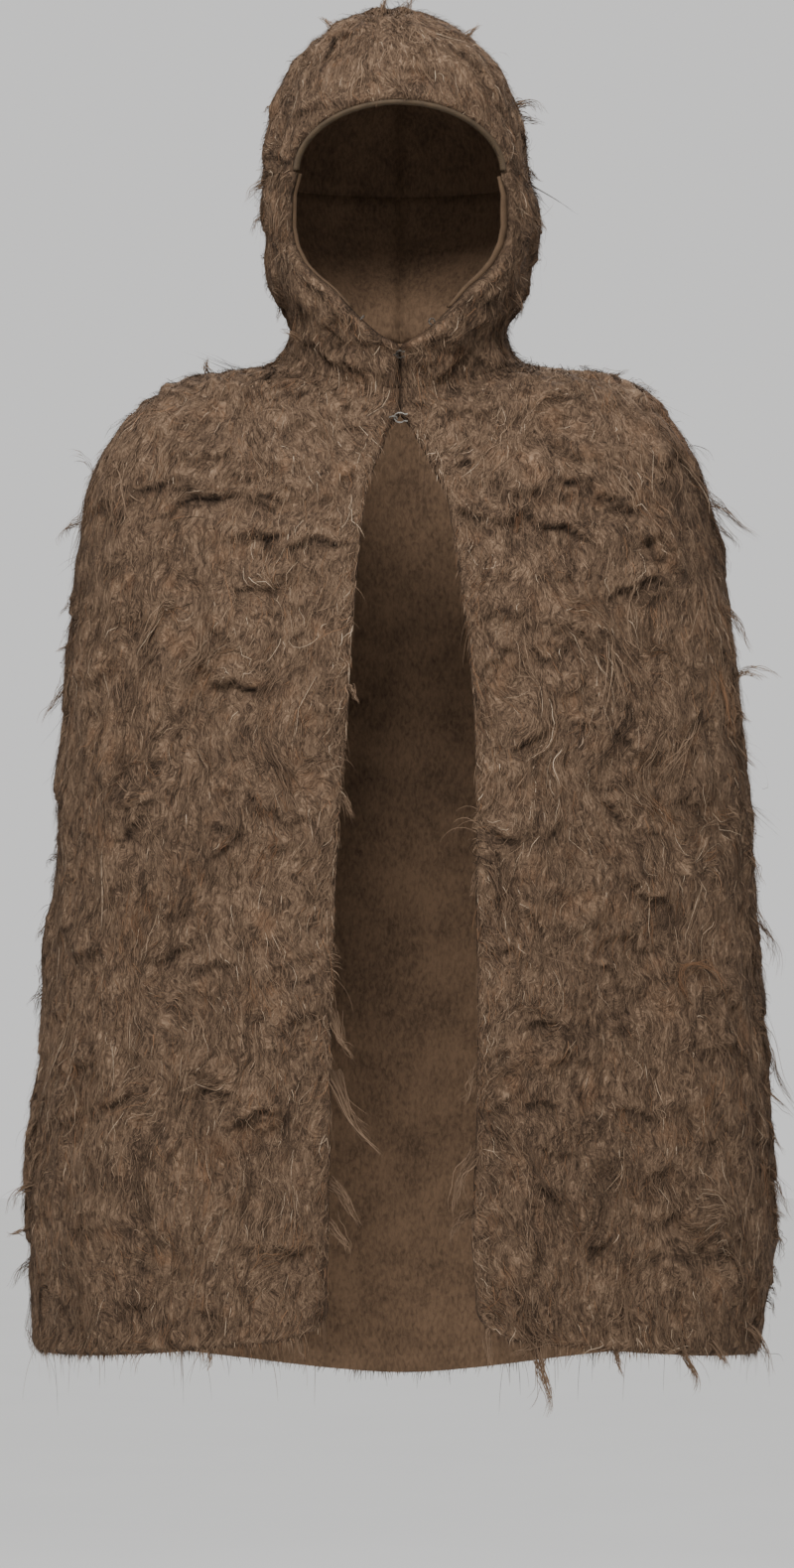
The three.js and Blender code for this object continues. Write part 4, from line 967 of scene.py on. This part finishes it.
# Loose locks that stand out: across from the middle, height, length (mm), the way they start
# and how much they bend (degrees, seen from the front), and strands.
locks = [
    (-233, -82, 40, 130, 150, 3), (-236, -113, 34, 215, 50, 9), (-243, -169, 24, 230, 20, 6),
    (-248, -235, 40, 235, 30, 9), (-261, -369, 20, 235, 20, 6), (-265, -465, 24, 230, 30, 7),
    (-265, -535, 22, 225, 20, 6), (-270, -576, 30, 230, 20, 7), (-273, -602, 38, 215, 40, 8),
    (-275, -661, 38, 215, 30, 8),
    (232, -99, 54, -25, -50, 14), (236, -112, 36, -40, -45, 9), (238, -126, 24, -50, -20, 7),
    (242, -180, 42, -40, -30, 10), (247, -235, 46, 25, -130, 6), (248, -276, 32, -35, -40, 9),
    (253, -317, 28, -55, -10, 7), (258, -361, 28, -50, -20, 7), (260, -394, 68, -62, -8, 13),
    (264, -435, 32, -50, -20, 8), (270, -494, 66, -58, -22, 13), (271, -528, 38, -45, -35, 9),
    (275, -554, 34, -55, -20, 8), (275, -594, 46, -50, -50, 10), (277, -642, 26, -60, -10, 6),
    (279, -687, 24, -50, -30, 6),
    (-50, -516, 74, -62, -10, 10), (-48, -474, 44, -68, -10, 7), (-51, -595, 40, -50, -60, 9),
    (-49, -623, 30, -60, -50, 6), (-40, -316, 22, -60, -40, 5), (-38, -238, 18, -55, -40, 4),
    (55, -573, 54, -118, 12, 9), (52, -613, 32, -130, 20, 7), (55, -513, 28, -115, 10, 6),
    (55, -374, 20, -110, 10, 5),
    (67, -688, 46, -100, 10, 8), (98, -699, 68, -85, -15, 11), (106, -706, 32, -150, 30, 7),
    (155, -713, 26, -80, -20, 6), (205, -713, 44, -75, -30, 8), (226, -711, 32, -60, -50, 7),
    (255, -706, 46, -55, -30, 9), (-141, -709, 22, -80, -20, 5), (-234, -713, 22, -100, 20, 5),
    (-73, -702, 20, -75, -20, 5),
    (-13, 264, 26, 60, -110, 7), (2, 265, 22, 40, -90, 6), (-50, 252, 16, 150, 40, 5),
    (50, 243, 18, 30, -60, 5), (92, 201, 32, -10, -60, 10), (95, 190, 24, -20, -60, 8),
    (101, 149, 18, -30, -30, 6), (102, 116, 22, -60, -10, 7), (101, 81, 20, -80, 10, 6),
    (88, 53, 24, -70, -20, 7), (-100, 201, 16, 200, 50, 6), (-101, 135, 24, 215, 40, 7),
    (-104, 116, 24, 240, 20, 7), (-95, 46, 16, 250, 10, 5),
    (-143, -2, 16, 100, -30, 8), (-76, 16, 20, 140, 50, 6), (153, -5, 22, 10, -30, 6), (175, -11, 22, -10, -30, 6),
]


lockShape = {"perStrand": 3.2, "points": 12, "width": 0.00062, "sway": 26, "stray": 0.12, "aside": 9, "tone": 0.44}


# A lock grows from the nearest place of a front or hood panel.
def lockStrands(rng, across, height, length, way, bend, strands):
    spot = np.array([across * 0.001 - crownLean * min(max((height - 140) / 130, 0), 1) ** 2, height * 0.001])
    best = None
    for panel in panels:
        if panel.name == "cape_back":
            continue
        gap = np.hypot(panel.base[..., 0] - spot[0], panel.base[..., 2] - spot[1])
        gap = gap + 0.4 * np.maximum(panel.base[..., 1], 0)
        place = np.unravel_index(np.argmin(gap), gap.shape)
        if best is None or gap[place] < best[0]:
            best = (gap[place], panel, place)
    _, panel, (i, j) = best
    out = panel.out[i, j]
    root = panel.base[i, j] + out * (panel.top[i, j] - 0.002)
    n, count = int(strands * lockShape["perStrand"]), lockShape["points"]
    share = np.linspace(0, 1, count)
    way -= 0.35 * bend + (lockShape["aside"] * np.sign(across) if abs(across) > 180 and height > -700 else 0)
    sway = lockShape["sway"] * np.sin(share * rng.uniform(4.0, 7.0) + rng.uniform(0, wholeTurn)) * share ** 0.5
    stray = (rng.random(n) < lockShape["stray"])[:, None]
    turned = rng.normal(0, 1.5, (n, 1)) + stray * rng.normal(0, 16, (n, 1)) * share
    angle = np.radians(way + bend * share[None, :] ** 1.3 + turned + sway)
    heading = np.stack([np.cos(angle), np.zeros_like(angle), np.sin(angle)], -1)
    heading = unit(heading + out * 0.16 * (1 - 1.6 * share)[None, :, None])
    step = length * 0.001 / (count - 1) * rng.uniform(0.55, 1.0, n)
    points = np.concatenate([np.zeros((n, 1, 3)), np.cumsum(heading[:, :-1] * step[:, None, None], 1)], 1)
    apart = rng.normal(0, 0.0012 + 0.00018 * strands, (n, 1, 3)) * (1 - 0.95 * share[None, :, None] ** 0.9)
    crimp = 0.0006 * np.sin(share * 14 + rng.uniform(0, wholeTurn, (n, 1)))[..., None] * rng.normal(0, 1, (n, 1, 3))
    tones = lockShape["tone"] + rng.normal(0, 0.06, (n, 1)) + 0.08 * share[None]
    return (points + root + apart + crimp, np.repeat(out[None], n, 0), np.clip(tones, 0.05, 0.75),
            np.full(n, lockShape["width"]), panel.name)


# Small tufts down both sides, between the locks.
edging = {"tufts": 16, "shortest": 9, "longest": 22}
rng = np.random.default_rng(7)
for side in (-1, 1):
    for drop in rng.uniform(60, 700, edging["tufts"]):
        across = side * np.interp(drop, (60, 100, 250, 400, 550, 700), (215, 233, 248, 262, 272, 279))
        locks.append((across, -drop, rng.uniform(edging["shortest"], edging["longest"]),
                      90 - side * rng.normal(135, 12), -side * rng.uniform(-10, 50), 6))
lockBundles = {}
for row in locks:
    *strands, owner = lockStrands(rng, *row)
    lockBundles.setdefault(owner, []).append(ribbons(rng, *strands))


# The pile on a panel: each kind with where it grows thickest, and the panel's locks.
def furFor(panel, seed):
    rng = np.random.default_rng(seed)
    openPile = 1 - 0.8 * np.clip((panel.shadow - 0.15) / 0.3, 0, 1)
    more = np.exp(-panel.free / 0.006) + np.exp(-panel.seam / 0.008)
    weights = {
        "fuzz": openPile * (1 + 1.4 * more),
        "fibre": openPile,
        "lip": panel.rim ** 2 + 0.002,
        "wisp": 0.08 + 3 * np.exp(-panel.free / 0.010) + 1.2 * panel.rim,
        "edge": np.exp(-panel.free / 0.004) + 1e-6,
        "tuft": 0.2 + panel.rim,
        "rope": 0.1 + np.clip(panel.free / 0.03, 0, 1),
    }
    bundles = []
    for (kind, weight), amount in zip(weights.items(), counts[panel.name]):
        amount = int(amount * (1))
        i, j = scatter(rng, panel, amount, weight)
        owner = np.repeat(np.arange(amount), fur[kind].get("group", 1))
        bundles.append(ribbons(rng, *grow(rng, panel, i[owner], j[owner], kind, owner)))
    return furObject(panel.name + "_fur", bundles + lockBundles.get(panel.name, []))


# The flat cut of what shows of each piece, and what carries it.
cuts = {
    "cape_front_right": (0.36, 0.86, ["hood_side_right"]), "cape_front_left": (0.36, 0.86, ["hood_side_left"]),
    "cape_back": (0.72, 0.86, ["hood_side_right", "hood_side_left"]),
    "hood_side_right": (0.25, 0.19, ["cape_back"]), "hood_side_left": (0.25, 0.19, ["cape_back"]),
    "hood_crown_right": (0.28, 0.19, ["hood_side_right"]), "hood_crown_left": (0.28, 0.19, ["hood_side_left"]),
}
for number, panel in enumerate(panels):
    width, length, carriers = cuts[panel.name]
    cloth = clothShell(panel, 2 if panel.name == "cape_back" else 1, 1 if panel.onHood else 2, 4)
    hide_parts(panel.name)
    pile = furFor(panel, 100 + number)


def trimLook(first, second, scale):
    def build(tree, place):
        weave = place.node("ShaderNodeTexWave", {"Vector": place, "Scale": scale, "Distortion": 1.5, "Detail": 2.0},
                           wave_type="BANDS", bands_direction="DIAGONAL")
        patch = noise(place, 120, 3)
        colour = ramp(weave * 0.4 + patch * 0.6, (0.3, first), (0.75, second))
        return {"Base Color": colour, "Normal": bump(weave, 0.35, 0.0004)}
    return build


bindingMaterial = material("bindingTape", trimLook(linear(46, 36, 24), linear(76, 61, 43), 900),
                           roughness=0.75, specular_ior_level=0.3)
facingMaterial = material("facingCloth", trimLook(linear(60, 46, 33), linear(86, 68, 51), 1100),
                          roughness=0.9, specular_ior_level=0.2)


def metalLook(base):
    def build(tree, place):
        wearAndShade = noise(place, 900, 3)
        return {"Base Color": ramp(wearAndShade, (0.3, tuple(c * 0.7 for c in base)), (0.8, base)),
                "Roughness": ramp(wearAndShade, (0.3, 0.22), (0.8, 0.42))}
    return build


nickel = material("nickel", metalLook((0.28, 0.26, 0.23)), metallic=1.0)
dullNickel = material("dullNickel", metalLook((0.17, 0.15, 0.13)), metallic=1.0)
darkMetal = material("darkMetal", metalLook((0.08, 0.07, 0.06)), metallic=1.0)


# Along an edge: its places, the way out and the way past it.
def edgeFrame(level, turn):
    place, out = skin(level, turn), outward(level, turn)
    path = unit(np.gradient(place, axis=0))
    return place, out, unit(np.cross(path, out))


# The faces of a closed tube, ring by ring, with both ends.
def tubeFaces(count, sides, flip):
    faces = []
    for k in range(0, (count - 1) * sides, sides):
        for s in range(sides):
            this, after = k + s, k + (s + 1) % sides
            faces.append([this, after, after + sides, this + sides] if flip else
                         [this, this + sides, after + sides, after])
    way = -1 if flip else 1
    return faces + [list(range(sides))[::way], list(range((count - 1) * sides, count * sides))[::-way]]


def binding():
    shares = np.concatenate([np.linspace(0.02, 1, 40), np.linspace(1, 0.02, 40)[1:]])
    right, left = archPlace(shares[:40], -1), archPlace(shares[40:], 1)
    level, turn = np.concatenate([right[0], left[0]]), np.concatenate([right[1], left[1]])
    turn[39] = 0
    place, out, past = edgeFrame(level, turn)
    centre = place + past * 0.0009 - out * 0.0044
    section = [(-0.0014, 0.0018), (-0.0004, 0.0024), (0.0008, 0.0019), (0.0014, 0.0006), (0.0014, -0.0012),
               (0.0010, -0.0023), (0, -0.0028), (-0.0014, -0.0024)]
    vertices = np.stack([centre + past * a + out * b for a, b in section], 1)
    faces = tubeFaces(len(centre), len(section), False)
    made = meshObject("hood_binding_tape", vertices.reshape(-1, 3).tolist(), faces, [bindingMaterial])
    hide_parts("hood_binding")
    return made


def facing(side):
    share = np.linspace(0, 1, 48)
    ends = (float(hoodAt(0.4 * hoodLength)), crownLevel - 0.05)
    level = ends[0] + (ends[1] - ends[0]) * (share if side < 0 else 1 - share)
    edge = faceEdgeTurn(level, side)
    place, out, past = edgeFrame(level, edge)
    shows = (0.0015 + 0.004 * np.sin(math.pi * share) ** 1.5) if side > 0 else 0.0001 + 0 * share
    rows = []
    for back, depth in ((10, 0.0098), (5, 0.0098), (0, 0.0082), (None, 0.0084), (None, 0.0104), (0, 0.0112),
                        (5, 0.0112), (10, 0.0112)):
        if back is None:
            rows.append(place + past * shows[:, None] - out * depth)
        else:
            turn = edge + side * back
            rows.append(skin(level, turn) - outward(level, turn) * depth)
    vertices = np.stack(rows, 1)
    faces = tubeFaces(len(level), len(rows), True)
    name = "hood_facing" + sideWord[side]
    made = meshObject(name + "_cloth", vertices.reshape(-1, 3).tolist(), faces, [facingMaterial])
    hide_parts(name)
    return made


binding()
for side in (-1, 1):
    facing(side)
for name, look in (("neck_eye", nickel), ("neck_hook", nickel), ("chin_hook", dullNickel), ("chin_eye", dullNickel),
                   ("collar_eye", darkMetal), ("collar_hook", darkMetal)):
    node = frame["nodes"][name]
    node.data.materials.clear()
    node.data.materials.append(look)

view = {"distance": 4.2, "across": -0.0022, "height": -0.309, "frameHeight": 1579 * 0.00074, "sensor": 24.0}
camera = added("camera", bpy.data.cameras.new("camera"))
camera.location = (view["across"], -view["distance"], view["height"])
camera.rotation_euler = (math.pi / 2, 0, 0)
camera.data.sensor_fit = "VERTICAL"
camera.data.sensor_height = view["sensor"]
camera.data.lens = view["sensor"] * view["distance"] / view["frameHeight"]
bpy.context.scene.camera = camera


def floorLook(tree, place):
    return {"Base Color": ramp(noise(place, 3, 2), (0.3, (0.85, 0.85, 0.84)), (0.7, (0.87, 0.87, 0.86)))}


floorSize, floorLevel = 12.0, -1.5
floorMesh = bpy.data.meshes.new("floor")
floorMesh.from_pydata([(x * floorSize, y * floorSize, floorLevel) for x, y in ((-1, -1), (1, -1), (1, 1), (-1, 1))],
                      [], [(0, 1, 2, 3)])
floorMesh.materials.append(material("pale", floorLook, roughness=0.9))
floor = added("floor", floorMesh)

# Each lamp: place, target, width, height, power.
light = {
    "key": ((-0.36, -1.9, 1.55), (0, 0, -0.08), 0.9, 0.9, 101),
    "fill": ((0.4, -3.4, 0.4), (0, 0, -0.2), 1.6, 2.2, 10),
    "back": ((0.4, 2.7, 1.5), (0, 0, -0.2), 1.4, 1.8, 62),
    "top": ((0, 0.3, 2.2), (0, 0, -0.2), 1.6, 1.2, 18),
    "world": 0.88,
}
for name in ("key", "fill", "back", "top"):
    place, target, width, height, power = light[name]
    lamp = bpy.data.lights.new(name, "AREA")
    lamp.shape, lamp.size, lamp.size_y, lamp.energy = "RECTANGLE", width, height, power
    softbox = added(name, lamp)
    softbox.location = place
    way = mathutils.Vector(target) - mathutils.Vector(place)
    softbox.rotation_euler = way.to_track_quat("-Z", "Y").to_euler()
world = bpy.data.worlds.new("world")
world.use_nodes = True
world.node_tree.nodes["Background"].inputs[0].default_value = (0.95, 0.945, 0.94, 1)
world.node_tree.nodes["Background"].inputs[1].default_value = light["world"]
bpy.context.scene.world = world

total = 0
for piece in bpy.data.objects:
    if piece.type == "MESH":
        piece.data.calc_loop_triangles()
        total += len(piece.data.loop_triangles)
print("triangles", total)
